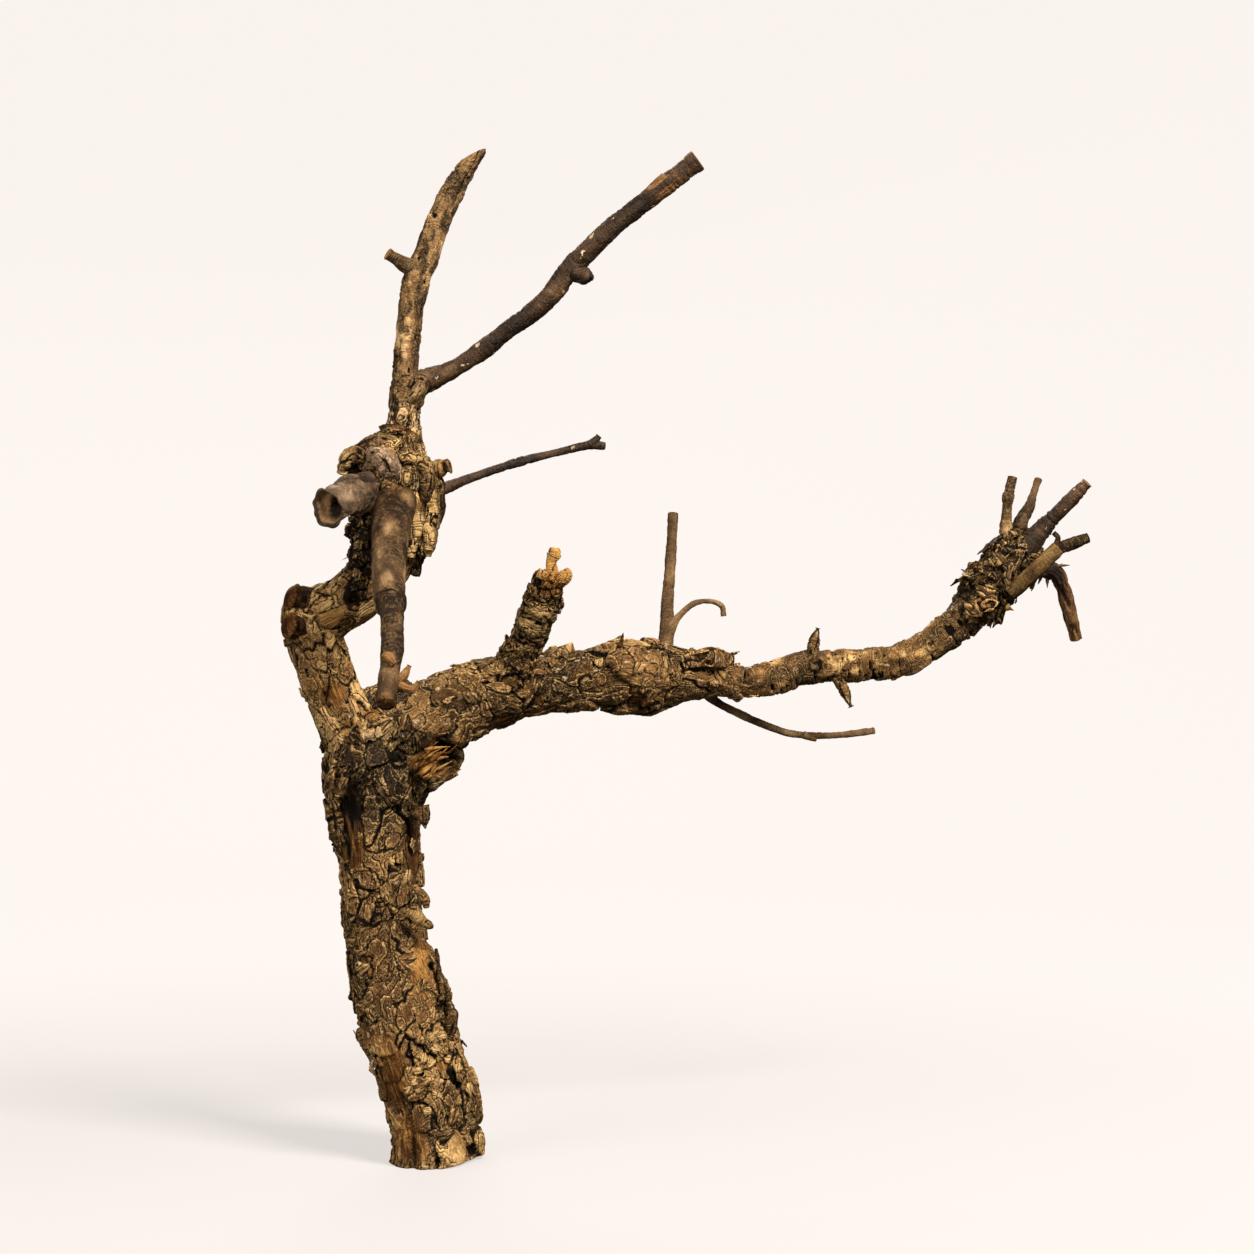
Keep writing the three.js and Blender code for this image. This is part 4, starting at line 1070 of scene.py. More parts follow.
# Painted shade inside the hole: a crescent on one side, and the bottom darkest.
crescent = ease(deep, 0.25, 0.5) * ease(-np.sin(side["angle"] - 0.5 + 2 * deep), -0.1, 0.5)
mottle = ease(layered_noise(side["straight"], 5, 3, 507), 0.0, 0.7) * (1 - inside)
marks["dirt_and_shade"] = np.clip(
    1.1 * crescent + 0.6 * ease(deep, 0.9, 1) + 0.5 * mottle + 0.5 * np.exp(-(((deep - 0.08) / 0.05) ** 2)),
    0, 1
)
marks["tone"] = marks["tone"] * (1 - inside) + inside * (0.9 + 0.15 * np.sin(9 * deep))
marks["grey"] = 0.4 * (1 - inside)
marks["bare"] = 0.35 * inside
marks["contour"], marks["edge"] = 0.5 + 0 * lip, 2 + 0 * lip
side["cut"] = 0 * side["cut"]
sheet_route = [
    (-17, -19, 203, 3.0), (-21.5, -25, 203.2, 3.0), (-25, -30.5, 203.9, 2.8), (-27.4, -36.5, 200.8, 2.0)
]
paint = lambda limb, height, marks: {
    "tone": 0.44 + 1.2 * (marks["tone"] - 0.5),
    "grey": 0.5,
    "dirt_and_shade": 0.6 * ease(layered_noise(limb["straight"], 4, 3, 511), 0.05, 0.6),
}
sheet = growth(sheet_route, 60, (0.25, 0, 0.8), 510, paint, spacing=0.4, flat=1.25, end=ROUND_END)
side["straight"] = side["straight"] * [1, 1, 0.6]
make_piece("side_stub", "grey_bark", [skin_part(side, height, marks), sheet])

# %% [markdown]
# ## The branch that comes towards the viewer
# A long smooth branch leaves the burl and hangs down in front. It has a node half way, a swollen ring with a
# crack round it, and small curled scales near its tip. Seen nearly end on, any pattern is squeezed into bands,
# so its marks and its grain are drawn out along the branch.


# %% Front branch
front_route = [
    (-12.5, -6, 206.5, 8.6), (-12, -20, 199.5, 6.8), (-11.2, -42, 187, 5.3), (-9.3, -66, 173, 4.7),
    (-8.4, -70, 170, 4.1), (-7.5, -76, 166.5, 3.5),
    (-6, -90, 156, 3.0), (-6, -107, 142.5, 2.6),
]
branch = tube(front_route, 84, spacing=0.45, front=(1, 0, 0), end=ROUND_END)
height, marks = young_bark(branch, wrinkle=0.04, lumps=0.25, seed=520)
NODE_HEIGHT = 169.5
node_at = branch["along"][np.argmin(np.abs(branch["skin"][..., 2].mean(1) - NODE_HEIGHT)), 0]
node_ring = np.exp(-(((branch["along"] - node_at) / 1.6) ** 2))
height += 0.7 * node_ring * noise(branch["straight"], 2.5, 530) + 0.6 * node_ring
marks["contour"] = 0.5 + 0 * height
marks["edge"] = 2 + 0 * height
open_cracks(
    marks, 1.1 * np.exp(-(((branch["along"] - node_at - 1.2 - noise(branch["straight"], 5, 533)) / 0.7) ** 2))
)
blotch = layered_noise(branch["straight"] * [1, 1, 0.3], 7, 3, 532)
marks["dirt_and_shade"] = np.clip(
    0.4 * ease(blotch, 0.15, 0.7) + 0.15 * ease(branch["along"], node_at, node_at + 6), 0, 1
)
patch = ease(noise(branch["straight"], 5, 535), -0.1, 0.4)
marks["bare"] = np.clip(
    0.7 * ease(-blotch, 0.0, 0.5) * ease(-branch["along"], -40, -10)
    + 0.8 * patch * np.exp(-(((branch["along"] - node_at - 4) / 2.6) ** 2)),
    0, 1
)
marks["tone"] = (
    marks["tone"] + 0.35 * layered_noise(branch["straight"] * [1, 1, 0.4], 3.5, 2, 534) - 0.2
    - 0.12 * ease(branch["along"], node_at, node_at + 6)
)
branch["straight"] = branch["straight"] * [1, 1, 0.5]
parts = [skin_part(branch, height, marks)]
for route in (
    [(-5.5, -98, 145, 1.1), (-3.4, -100, 147.6, 1.2), (-1.6, -100.5, 150, 1.1), (-0.5, -100, 152, 0.6)],
    [(-4.8, -99, 147.6, 1.1), (-1.8, -101, 146.2, 1.1), (0.6, -101, 146, 1.0), (2, -101, 147.8, 0.6)],
    [(-7.6, -97, 154.6, 0.9), (-6, -99.6, 154.2, 1.2), (-4.6, -100, 152.6, 0.9)],
):
    paint = lambda limb, height, marks: {"bare": 0.75, "tone": marks["tone"] + 0.3}
    shape = dict(spacing=0.35, front=(0.2, -1, 0.1), flat=1.3, end=ROUND_END)
    parts.append(growth(route, 28, (0.2, 0, 0.3), 540, paint, **shape))
make_piece("front_branch", "grey_bark", parts)

# %% [markdown]
# ## The upright shoot
# The tall shoot on the burl is tan and pitted, and someone cut it to a slanting point. Its base is gnarled like
# the burl. The slanting cut moves each point of the last rings along the shoot, more on one side than on the
# other.

# %% Upright shoot
upright_route = [
    (-10.5, -8, 211.5, 6.4), (-10, -7, 223.5, 5.1), (-10, -6, 234.5, 4.5), (-9.5, -5, 245, 3.8),
    (-8.5, -4, 257.5, 3.7),
    (-6.5, -3, 269, 4.1), (-4, -2, 275, 4), (-0.5, 0, 285.5, 3.7), (4, 2, 296, 3.6), (7.2, 3.2, 302, 3.1),
    (9.8, 4, 307.2, 2.7),
]
upright = tube(upright_route, 76, spacing=0.4)
height, marks = young_bark(upright, wrinkle=0.2, groove=0.06, lumps=0.3, seed=600)
base = ease(-upright["skin"][..., 2], -238, -222)
rough_height, rough_marks = gnarled(upright, 3.2, 620)
height = height * (1 - base) + rough_height * base
marks = mix_marks(marks, rough_marks, base)
pits = ease(noise(upright["straight"] * [1, 1, 0.6], 1.3, 640), 0.62, 0.8) * (1 - base)
pits = np.maximum(pits, spot(upright, -1.2, 288, 1.6, 1.8))
near_tip = ease(upright["along"], upright["along"].max() - 26, upright["along"].max() - 16)
split = near_tip * np.exp(
    -(((upright["angle"] - 0.6 + 0.15 * noise(upright["straight"], 4, 645)) / 0.14) ** 2)
)
height -= 0.5 * pits + 0.6 * split
open_cracks(marks, np.maximum(pits, split))
mottle = layered_noise(upright["straight"] * [1, 1, 0.5], 1.7, 2, 646)
tip = ease(upright["along"], upright["along"].max() - 9, upright["along"].max() - 4)
marks["tone"] = (0.4 + 1.6 * (marks["tone"] - 0.5)) * (1 - 0.5 * tip)
marks["dirt_and_shade"] = np.clip(
    marks["dirt_and_shade"] + 0.85 * ease(mottle, 0.34, 0.55) + 0.35 * base + 0.8 * upright["cut"], 0, 1
)
across = np.sin(upright["angle"]) * np.linalg.norm(
    upright["skin"] - upright["skin"].mean(1, keepdims=True), axis=-1
)
slant = 1.5 * across * ease(upright["along"], upright["along"].max() - 7, upright["along"].max() - 0.5)
upright["skin"] = upright["skin"] + upright["ahead"] * slant[..., None]
spur_route = [(-5, -3, 270.5, 3.3), (-9.5, -5, 272.3, 2.4), (-13, -7, 274.3, 1.8), (-15, -8, 275.5, 1.9)]
collar_route = [(-8, -7, 231, 2.6), (-5.4, -9, 234.6, 3.0), (-4.6, -8.4, 238, 2.0)]
on_spur = lambda limb, height, marks: {"dirt_and_shade": 0.75 * (1 - limb["cut"])}
on_collar = lambda limb, height, marks: {"dirt_and_shade": 0.3 + 0.4 * ease(noise(limb["straight"], 3, 656), -0.3, 0.3)}
make_piece("upright_shoot", "smooth_bark", [
    skin_part(upright, height, marks),
    growth(spur_route, 40, (0.4, 0, 0.5), 650, on_spur, spacing=0.35),
    growth(collar_route, 44, (0.5, 0.5, 1.2), 655, on_collar, spacing=0.35, end=ROUND_END),
])

# %% [markdown]
# ## The slanting shoot and the back twig
# The slanting shoot is younger and darker, with pale breathing pores called lenticels, which the material draws,
# a bud half way and a peeled patch near its end. A thin twig with a forked end grows behind the burl.

# %% Slanting shoot and back twig
slanting_route = [
    (-9, -6, 234.5, 4.0), (-4, -6, 237, 3.7), (2.5, -7, 239.5, 2.9), (11.5, -9, 244.5, 2.9),
    (21.5, -11, 252, 2.9), (33, -13, 260.5, 3),
    (41.5, -15, 271, 3.2), (51, -17, 280, 3), (61.5, -19, 288.5, 3), (70, -20.5, 295, 3),
    (78.6, -22, 301.2, 3),
]
slanting = tube(slanting_route, 60, spacing=0.4)
height, marks = young_bark(slanting, wrinkle=0.2, groove=0.05, lumps=0.3, seed=660)
peeled = spot(slanting, 66.5, 293.5, 7, 4) * ease(
    noise(slanting["straight"] * [1, 1, 0.4], 2.5, 665), -0.3, 0.1
)
marks["bare"] = peeled
height -= 0.35 * peeled
leaf_bud = [(42, -15, 268.5, 3.1), (45, -16, 267.6, 2.3), (47.2, -16.5, 267, 0.9)]
make_piece("slanting_shoot", "dark_bark", [
    skin_part(slanting, height, marks),
    growth(leaf_bud, 30, (0.3, 0, 0.5), 670, spacing=0.3, end=ROUND_END),
])
back_route = [
    (-6, -2, 201.5, 2.3), (1.5, 8, 205.5, 1.8), (11.5, 16, 210, 1.5), (24, 22, 214.5, 1.4),
    (36.5, 27, 218, 1.3), (45.5, 30, 220.3, 1.5), (50.5, 31, 220, 1.1)
]
nub_route = [(45.5, 30, 220.2, 1.5), (47.5, 30, 221.9, 1.2), (48.6, 30, 223.2, 1.0)]
make_piece("back_twig", "dark_bark", [
    growth(back_route, 36, (0.12, 0, 0.2), 680, spacing=0.45),
    growth(nub_route, 24, (0.12, 0, 0.2), 680, spacing=0.35),
])

# %% [markdown]
# ## Twigs and fingers
# The last pieces are thin and much alike: smooth bark with fine lines along it. They are made in one loop, each
# from its own route, with a short table of how wrinkled, how lumpy and how bare each one is.

# %% Table of twigs
twigs = {
    "standing_twig": (
        "grey_bark",
        [
            (69, 26, 152, 2.9), (70, 30, 159.5, 2.4), (70.5, 34, 171, 2), (71.5, 38, 184, 1.8),
            (72.4, 42, 199, 1.7)
        ],
        0.08, 0.15, 0.0
    ),
    "curled_twig": (
        "grey_bark",
        [
            (70, 29, 156, 1.7), (71.8, 30, 162.5, 1.4), (74.4, 31, 166.2, 1.1), (79.1, 33, 170, 1),
            (84.5, 36, 170.6, 0.95), (88, 38, 169, 0.95), (88.5, 38, 165.9, 1.0)
        ],
        0.08, 0.15, 0.1
    ),
    "drooping_twig": (
        "grey_bark",
        [
            (80, 32, 144, 1.8), (86, 38, 138.5, 1.4), (93.5, 42, 134.5, 1.3), (102.5, 46, 130.5, 1.2),
            (112, 49, 127.5, 1.15), (125.5, 52, 127, 1.05), (138.6, 55, 128.4, 1.05)
        ],
        0.08, 0.15, 0.0
    ),
    "left_finger": (
        "smooth_bark",
        [(180.5, 46, 187.5, 2.1), (180.6, 47, 196, 1.6), (181.5, 48, 204.5, 1.5), (183, 49, 211.2, 1.4)], 0.2,
        0.35, 0.1
    ),
    "middle_finger": (
        "grey_bark",
        [
            (184.5, 48, 189, 3.2), (185.9, 49.5, 196.7, 2.4), (187.6, 50.5, 199.6, 1.8), (189, 51, 202, 1.4),
            (190.6, 53, 206.4, 1.3), (192.4, 55, 210.8, 1.2)
        ],
        0.1, 0.25, 0.15
    ),
    "right_finger": (
        "dark_bark",
        [(186, 45, 187.5, 4.2), (193, 43, 195.4, 2.8), (199, 40, 201.8, 2.5), (205.1, 37, 208.6, 2.0)], 0.2,
        0.35, 0.0
    ),
    "hanging_twig": (
        "dark_bark",
        [
            (186, 46, 181.5, 2.8), (195.5, 47.5, 180.5, 2.6), (199.3, 49, 176, 2.1), (201.7, 51, 167.5, 1.8),
            (204.4, 53, 158.2, 1.6)
        ],
        0.15, 0.45, 0.65
    ),
    "peeled_stick": (
        "bare_wood",
        [
            (180.5, 37.5, 173, 2.4), (184, 36.5, 176.3, 2.6), (188.5, 35.5, 180.8, 2.6),
            (192, 35.2, 184.3, 2.5), (195.4, 35, 187.6, 2.4)
        ],
        0.1, 0.25, 0.45
    ),
}
extras = {
    "drooping_twig": [[(115, 49.5, 127.3, 1.1), (117.5, 50, 126.2, 0.9), (119.3, 50, 125.6, 0.6)]],
    "peeled_stick": [
        [(193.5, 35, 186.6, 1.8), (199, 35.4, 188.7, 1.8), (205.2, 36, 191, 1.7)],
        [(195, 36, 188.5, 1.3), (195.6, 36, 191, 1.0), (194.2, 36, 192.6, 0.9)]
    ],
}
print("twigs in the table:", len(twigs))

# %% [markdown]
# ## One loop for all of them
# The fingers are dirty where they leave the knot, the peeled stick keeps dark bark on its end, and the hanging
# twig is ribbed, stained and frayed where it was torn.

# %% Twigs, fingers and sticks
for number, (node, (slot, route, wrinkle, lumps, peeled)) in enumerate(twigs.items()):
    parts = []
    for extra, line in enumerate([route] + extras.get(node, [])):
        limb = tube(line, 40, spacing=0.4)
        height, marks = young_bark(
            limb, wrinkle=wrinkle, groove=0.12 * wrinkle, lumps=lumps, seed=700 + 10 * number + extra
        )
        patchy = ease(
            noise(limb["straight"] * [1, 1, 0.35], 3, 700 + number), 0.9 - 2 * peeled, 1.1 - 2 * peeled
        )
        marks["bare"] = patchy * (extra == 0)
        dark_end = node == "peeled_stick" and extra > 0
        low = ease(-limb["along"], -20, -10) * node.endswith("finger")
        marks["dirt_and_shade"] = np.clip(
            0.65 * dark_end + 0.5 * (node == "hanging_twig")
            + low * (0.35 + 0.35 * ease(noise(limb["straight"], 4, 790 + number), -0.5, 0.4)),
            0, 1
        )
        marks["tone"] = (
            marks["tone"] - 0.5 * dark_end - 0.3 * (node in ("left_finger", "peeled_stick"))
            - 0.1 * (node == "middle_finger")
        )
        if node == "hanging_twig":
            ribs = np.abs(layered_noise(limb["straight"] * [1, 1, 0.12], 1.6, 2, 795))
            height += 1.0 * ease(ribs, 0, 0.5) - 0.5
            open_cracks(marks, np.exp(-((ribs / 0.14) ** 2)))
        parts.append(skin_part(limb, height, marks))
    if node == "hanging_twig":
        parts.append(splinters(
            [(192, 46.5, 179), (194, 47, 178.5), (197, 47, 182), (196.5, 47.5, 181.5), (190.5, 46.5, 179.5)],
            [(-0.3, 0, -1), (0, 0, -1), (1, 0, 0.25), (1, 0, 0.7), (-1, 0, -0.5)], [3, 3.5, 4.5, 3, 2.5],
            [0.7, 0.7, 0.7, 0.6, 0.6], 71, dark=0.4))
    make_piece(node, slot, parts)

# %% [markdown]
# ## Tools for materials
# A material is a net of nodes. Writing each node and link by hand is long, so a few short functions put down a
# node, mix colours, stretch values and add or multiply them.


# %% Short names for nodes
def put(tree, kind, inputs=None, **settings):
    """A new node with its settings made and its sockets filled by values or links."""
    made = tree.nodes.new(kind)
    for name, value in settings.items():
        setattr(made, name, value)
    for name, value in (inputs or {}).items():
        if isinstance(value, bpy.types.NodeSocket):
            tree.links.new(value, made.inputs[name])
        else:
            made.inputs[name].default_value = value
    return made


def blend(tree, share, first, second):
    """Mixes two colours: the first times one less the share, plus the second times the share."""
    return put(tree, "ShaderNodeMix", {0: share, 6: first, 7: second}, data_type="RGBA").outputs[2]


def levels(tree, value, low, high, to_low=0.0, to_high=1.0):
    """Maps low to high smoothly onto a new range."""
    inputs = {"Value": value, "From Min": low, "From Max": high, "To Min": to_low, "To Max": to_high}
    return put(tree, "ShaderNodeMapRange", inputs, interpolation_type="SMOOTHSTEP").outputs[0]


def sums(tree, how, *values):
    """Arithmetic between values, one step after the other."""
    total = values[0]
    for value in values[1:]:
        total = put(tree, "ShaderNodeMath", {0: total, 1: value}, operation=how).outputs[0]
    return total


def ramp(tree, share, colours):
    """A row of colours, evenly spaced, picked by a share from 0 to 1."""
    made = put(tree, "ShaderNodeValToRGB", {"Fac": share})
    stops = made.color_ramp.elements
    while len(stops) < len(colours):
        stops.new(0.5)
    for i, colour in enumerate(colours):
        stops[i].position = i / (len(colours) - 1)
        stops[i].color = (*colour, 1)
    return made.outputs[0]


def linear(red, green, blue):
    """A screen colour from 0 to 255 as light: the standard curve, close to the power of 2.4."""
    value = np.array([red, green, blue]) / 255
    return tuple(np.where(value <= 0.04045, value / 12.92, ((value + 0.055) / 1.055) ** 2.4))


print("middle grey of the screen as light:", np.round(linear(128, 128, 128), 3))

# %% [markdown]
# ## The wood recipe
# All the wood shares one recipe with different colours. It reads the marks on the points: cracks get painted
# shade that goes nearly black, rims of plates get painted highlights, each plate has its own tone, and bare wood
# is streaked along the grain. Fine noise adds what is too small for the mesh. The textures use the grain
# attribute, which holds each point's place on the straightened limb, so streaks follow the wood round every
# bend.


# %% Wood recipe
def wood(name, tones, bare_tones, crack_shade_colour, dots=0.0, lines=0.5, chips=0.5, roughness=0.8, gloss=0.08):
    """Bark and wood from the marks: tones by plate and chip, lines along the layers as painted shade and
    highlight, pale rims as painted highlights, dark cracks as painted shade, bare fibres, stains and painted
    shade."""
    material = bpy.data.materials.new(name)
    material.use_nodes = True
    tree = material.node_tree
    tree.nodes.clear()
    mark = {m: put(tree, "ShaderNodeAttribute", attribute_name=m).outputs["Fac"] for m in MARKS}
    grain = put(tree, "ShaderNodeAttribute", attribute_name="grain").outputs["Vector"]
    # The palest tone, used below for painted highlights.
    pale = (*tones[-1], 1)
    times = lambda *values: sums(tree, "MULTIPLY", *values)
    add = lambda *values: sums(tree, "ADD", *values)
    most = lambda *values: sums(tree, "MAXIMUM", *values)
    to = lambda *values: levels(tree, *values)

    def texture(scale, detail, vector=grain, output="Fac"):
        inputs = {"Vector": vector, "Scale": scale, "Detail": detail, "Roughness": 0.6}
        return put(tree, "ShaderNodeTexNoise", inputs).outputs[output]

    # Noises along the grain, and small chips with their edges and tones.
    streaks = put(tree, "ShaderNodeVectorMath", {0: grain, 1: (1, 1, 0.1)}, operation="MULTIPLY").outputs[0]
    fine, broad, fibre = texture(1.7, 4), texture(0.16, 3), texture(1.6, 4, streaks)
    wander = put(
        tree, "ShaderNodeVectorMath", {0: texture(0.55, 3, output="Color"), 1: (3.2, 3.2, 3.2), 2: grain},
        operation="MULTIPLY_ADD"
    )
    chip = {"Vector": wander.outputs[0], "Scale": 0.36}
    chip_edge = put(tree, "ShaderNodeTexVoronoi", chip, feature="DISTANCE_TO_EDGE").outputs["Distance"]
    chip_tone = put(tree, "ShaderNodeTexVoronoi", chip).outputs["Color"]
    chip_area = times(to(texture(0.22, 2), 0.44, 0.58), chips)
    drawn = times(to(texture(0.13, 2), 0.42, 0.62, 0.35, 1.0), lines)
    tone = add(
        mark["tone"], times(add(fine, -0.5), 0.8), times(add(broad, -0.5), 0.9),
        times(add(chip_tone, -0.5), chip_area, 0.7)
    )
    colour = ramp(tree, tone, tones)
    ledge = sums(tree, "DIVIDE", sums(tree, "FRACT", mark["contour"], 0), most(mark["slope"], 0.2))
    ledge = add(ledge, times(add(fine, -0.5), 0.3))
    wave = sums(tree, "PINGPONG", add(ledge, times(add(broad, fibre), 0.8)), 0.55)
    # Painted relief: a dark line of painted shade along each layer, and a pale line of painted highlight beside
    # it.
    colour = blend(tree, times(to(wave, 0.16, 0.04), drawn), colour, crack_shade_colour)
    colour = blend(tree, times(to(wave, 0.2, 0.28), to(wave, 0.42, 0.34), drawn, 0.45), colour, pale)
    # Painted highlight: pale rims beside the layer steps, the cracks and the chip edges, where raised edges
    # catch the light.
    shy = to(mark["smooth"], 0, 1, 1, 0.3)
    rim = most(
        times(to(ledge, 0.3, 0.5), to(ledge, 1.1, 0.6)),
        times(to(mark["edge"], 0.3, 0.5), to(mark["edge"], 1.0, 0.6))
    )
    rim = most(rim, times(to(chip_edge, 0.05, 0.09), to(chip_edge, 0.22, 0.12), chip_area))
    clean = times(to(mark["dirt_and_shade"], 1.25, 0.6), to(mark["bare"], 0, 0.7, 1, 0))
    threads = texture(
        3.4, 3,
        put(tree, "ShaderNodeVectorMath", {0: grain, 1: (1, 1, 0.07)}, operation="MULTIPLY").outputs[0]
    )
    fibre_tone = to(
        add(times(fibre, 0.6), times(threads, 0.4), times(add(mark["tone"], -0.5), 0.2)), 0.32, 0.66
    )
    colour = blend(tree, mark["bare"], colour, ramp(tree, fibre_tone, bare_tones))
    washed = put(tree, "ShaderNodeHueSaturation", {"Saturation": 0.6, "Color": colour}).outputs[0]
    colour = blend(tree, mark["grey"], colour, washed)
    # Darkening towards near black: real stains, and painted shade where the mark holds shade.
    colour = blend(tree, times(mark["dirt_and_shade"], 0.97), colour, (*linear(12, 7, 4), 1))
    # Painted highlight on the rims, weaker where the bark is smooth, dark or bare.
    colour = blend(tree, times(rim, to(fine, 0.4, 0.62), shy, clean, 0.75), colour, pale)
    # Pale dots: lenticels on the dark bark of young shoots; on the rough bark they are painted highlights,
    # glints on curled flakes.
    if dots:
        stretched = put(
            tree, "ShaderNodeVectorMath", {0: wander.outputs[0], 1: (1, 1, 0.6)}, operation="MULTIPLY"
        ).outputs[0]
        spots = put(tree, "ShaderNodeTexVoronoi", {"Vector": stretched, "Scale": 0.36})
        some = to(spots.outputs["Color"], 0.46, 0.5)
        pores_and_glints = times(to(spots.outputs["Distance"], 0.22, 0.15), some, clean, dots)
        colour = blend(tree, pores_and_glints, colour, (*linear(208, 182, 148), 1))
    speck = to(texture(0.9, 2), 0.66, 0.74)
    # Dark specks, and painted shade in the cracks, at the foot of each layer step and along chip edges.
    crack = most(times(speck, 0.5), times(to(ledge, 0.34, 0.16), shy, 0.95))
    crack = most(crack, times(to(chip_edge, 0.06, 0.02), chip_area))
    crack = times(crack, to(mark["bare"], 0, 1, 1, 0))
    crack = most(crack, to(add(mark["edge"], times(add(fine, -0.5), 0.4)), 0.36, 0.14))
    # Painted shade: a soft darkening within about a millimetre of each crack, as in a hollow.
    hollow = times(to(mark["edge"], 0.9, 0.2), shy, 0.42)
    colour = blend(tree, hollow, colour, crack_shade_colour)
    colour = blend(tree, crack, colour, crack_shade_colour)
    heights = add(
        times(fine, 0.45), times(wave, 0.7 * lines), times(fibre, mark["bare"], 0.8),
        times(chip_area, to(chip_edge, 0, 0.12), 0.4)
    )
    bump = put(tree, "ShaderNodeBump", {"Height": heights, "Strength": 0.8, "Distance": 0.0007})
    shader = put(tree, "ShaderNodeBsdfPrincipled", {
        "Base Color": colour, "Roughness": to(fine, 0.3, 0.7, roughness - 0.1, roughness + 0.1),
        "Specular IOR Level": gloss, "Normal": bump.outputs[0]})
    put(tree, "ShaderNodeOutputMaterial", {"Surface": shader.outputs[0]})
    return material


# %% [markdown]
# ## Five kinds of wood
# Each kind has a row of tones from its darkest to its palest, and the tones of its bare wood. Rough bark has the
# strongest lines and chips, and the dark bark of young shoots has the pale pores and a slight sheen.

# %% Materials
# Near black, for painted shade in cracks, creases and engraved lines.
crack_shade = (*linear(14, 8, 3), 1)
golden = [linear(50, 26, 8), linear(112, 70, 30), linear(182, 134, 72)]
russet = [linear(46, 24, 11), linear(96, 60, 30), linear(156, 112, 64)]
rough_tones = [linear(30, 18, 8), linear(78, 51, 26), linear(124, 88, 49), linear(206, 166, 108)]
smooth_tones = [linear(44, 28, 14), linear(100, 72, 42), linear(146, 111, 71), linear(210, 173, 122)]
dark_tones = [linear(21, 12, 7), linear(46, 30, 17), linear(72, 50, 31), linear(120, 90, 60)]
grey_tones = [linear(34, 22, 13), linear(74, 53, 33), linear(106, 80, 52), linear(152, 121, 84)]
peeled_tones = [linear(52, 36, 18), linear(92, 67, 36), linear(122, 93, 54), linear(164, 131, 82)]
materials = {
    "rough_bark": wood("rough_bark", rough_tones, golden, crack_shade, dots=0.6, lines=0.85, chips=0.6),
    "smooth_bark": wood("smooth_bark", smooth_tones, golden, crack_shade, lines=0.4, chips=0.5),
    "dark_bark": wood(
        "dark_bark", dark_tones, russet, crack_shade, dots=0.9, lines=0.3, chips=0.2, roughness=0.6, gloss=0.2
    ),
    "grey_bark": wood("grey_bark", grey_tones, russet, crack_shade, lines=0.2, chips=0.15, roughness=0.65),
    "bare_wood": wood("bare_wood", peeled_tones, peeled_tones, crack_shade, dots=0.3, lines=0.3, chips=0.3),
}
for piece, slot in made_pieces:
    piece.data.materials.append(materials[slot])
print("pieces with a material:", len(made_pieces))

# %% [markdown]
# ## The floor
# The branch stands on a warm white floor that curves up into a wall all round, so no horizon shows from any
# side. It is a profile turned round the upright axis. It glows a little, so that it stays as pale as in the
# view without stronger lamps, and it throws no light back on the wood.

# %% Floor and wall
FLAT, CURVE, WALL_TOP, COLUMNS = 0.9, 0.8, 3.0, 96
bend = np.linspace(0, np.pi / 2, 24)
profile = np.column_stack([FLAT + CURVE * np.sin(bend), CURVE - CURVE * np.cos(bend)])
profile = np.vstack([profile, [(FLAT + CURVE, WALL_TOP)]])
turn = np.linspace(0, 2 * np.pi, COLUMNS, endpoint=False)
rings = [np.column_stack([r * np.cos(turn), r * np.sin(turn), np.full(COLUMNS, z)]) for r, z in profile]
points = np.vstack(rings + [[(0, 0, 0)]])
i, j = np.meshgrid(np.arange(len(profile) - 1) * COLUMNS, np.arange(COLUMNS), indexing="ij")
k = (j + 1) % COLUMNS
walls = np.stack([i + j, i + COLUMNS + j, i + COLUMNS + k, i + k], axis=-1).reshape(-1, 4)
edge = np.arange(COLUMNS)
floor = np.stack([np.full(COLUMNS, len(points) - 1), edge, np.roll(edge, -1)], axis=-1)
mesh = bpy.data.meshes.new("backdrop")
mesh.from_pydata(points.tolist(), [], walls.tolist() + floor.tolist())
mesh.shade_smooth()
backdrop = bpy.data.objects.new("backdrop", mesh)
bpy.context.scene.collection.objects.link(backdrop)
paper = bpy.data.materials.new("paper")
paper.use_nodes = True
tree = paper.node_tree
tree.nodes.clear()
place = put(tree, "ShaderNodeTexCoord").outputs["Object"]
far = put(tree, "ShaderNodeVectorMath", {0: place}, operation="LENGTH").outputs["Value"]
far = levels(tree, far, 0.08, 0.5)
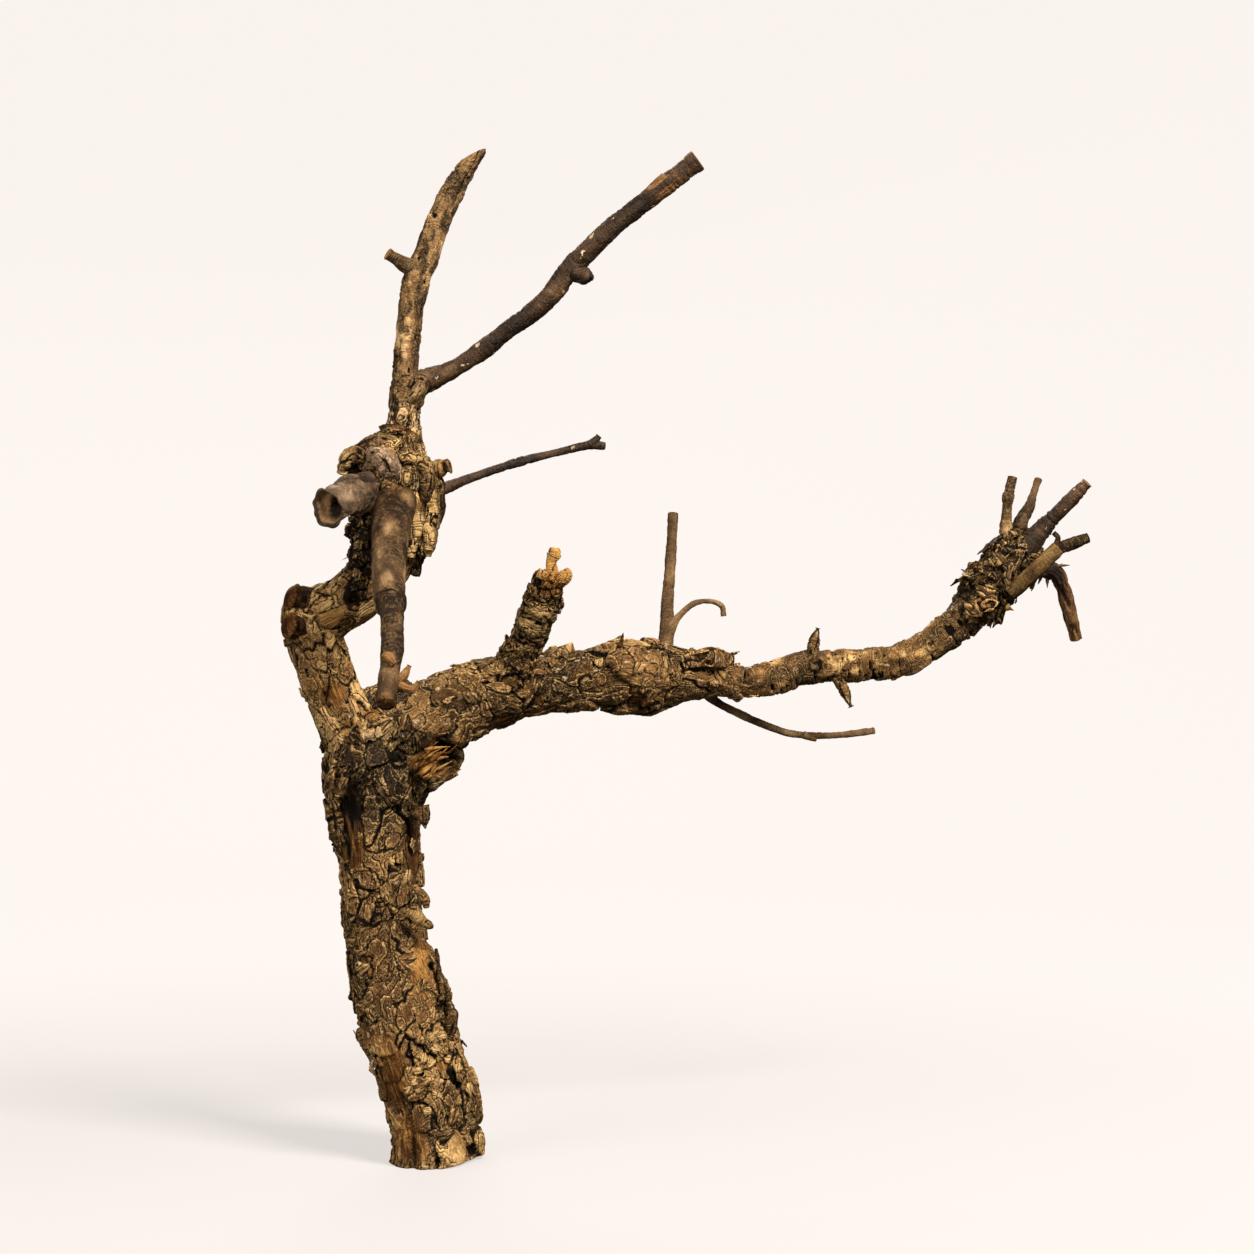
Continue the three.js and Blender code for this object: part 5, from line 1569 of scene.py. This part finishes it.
diffuse = put(
    tree, "ShaderNodeBsdfDiffuse",
    {"Color": blend(tree, far, (0.18, 0.172, 0.165, 1), (0.05, 0.048, 0.046, 1))}
)
glow = put(
    tree, "ShaderNodeEmission",
    {"Color": blend(tree, far, (0.612, 0.574, 0.552, 1), (0.925, 0.868, 0.825, 1))}
)
both = put(tree, "ShaderNodeAddShader", {0: diffuse.outputs[0], 1: glow.outputs[0]})
put(tree, "ShaderNodeOutputMaterial", {"Surface": both.outputs[0]})
mesh.materials.append(paper)
backdrop.visible_diffuse = backdrop.visible_glossy = False

print("points of the floor and wall:", len(points))

# %% [markdown]
# ## Light and camera
# A large lamp from the upper right gives soft shadows, a weak one fills the left, and a third lights the back.
# The camera is level and a bit over two object heights away, which gives the gentle perspective of the view.


# %% Light and camera
scene = bpy.context.scene
world = bpy.data.worlds.new("studio")
scene.world = world
world.use_nodes = True
world.node_tree.nodes["Background"].inputs["Color"].default_value = (1.0, 0.95, 0.88, 1)
world.node_tree.nodes["Background"].inputs["Strength"].default_value = 0.14


def lamp(name, place, target, size, power, colour):
    """A square area lamp at a place, turned to a target."""
    light = bpy.data.lights.new(name, "AREA")
    light.size, light.energy, light.color = size, power, colour
    made = bpy.data.objects.new(name, light)
    made.location = place
    made.rotation_euler = (Vector(target) - Vector(place)).to_track_quat("-Z", "Y").to_euler()
    scene.collection.objects.link(made)


middle = (0.05, 0, 0.15)
lamp("key", (0.7, -0.72, 1.05), middle, 0.45, 37, (1.0, 0.95, 0.88))
lamp("fill", (-0.9, -0.8, 0.5), middle, 0.8, 12, (1.0, 0.97, 0.92))
lamp("back", (-0.2, 1.2, 1.1), middle, 0.8, 14, (1.0, 0.97, 0.92))

camera = bpy.data.cameras.new("camera")
camera.lens, camera.sensor_width, camera.clip_start, camera.clip_end = 72.2, 36, 0.05, 20
view = bpy.data.objects.new("camera", camera)
view.location = (0.0575, -0.77, 0.1624)
view.rotation_euler = (np.pi / 2, 0, 0)
scene.collection.objects.link(view)
scene.camera = view
scene.view_settings.view_transform = "Standard"
print("camera at", [round(value, 4) for value in view.location])
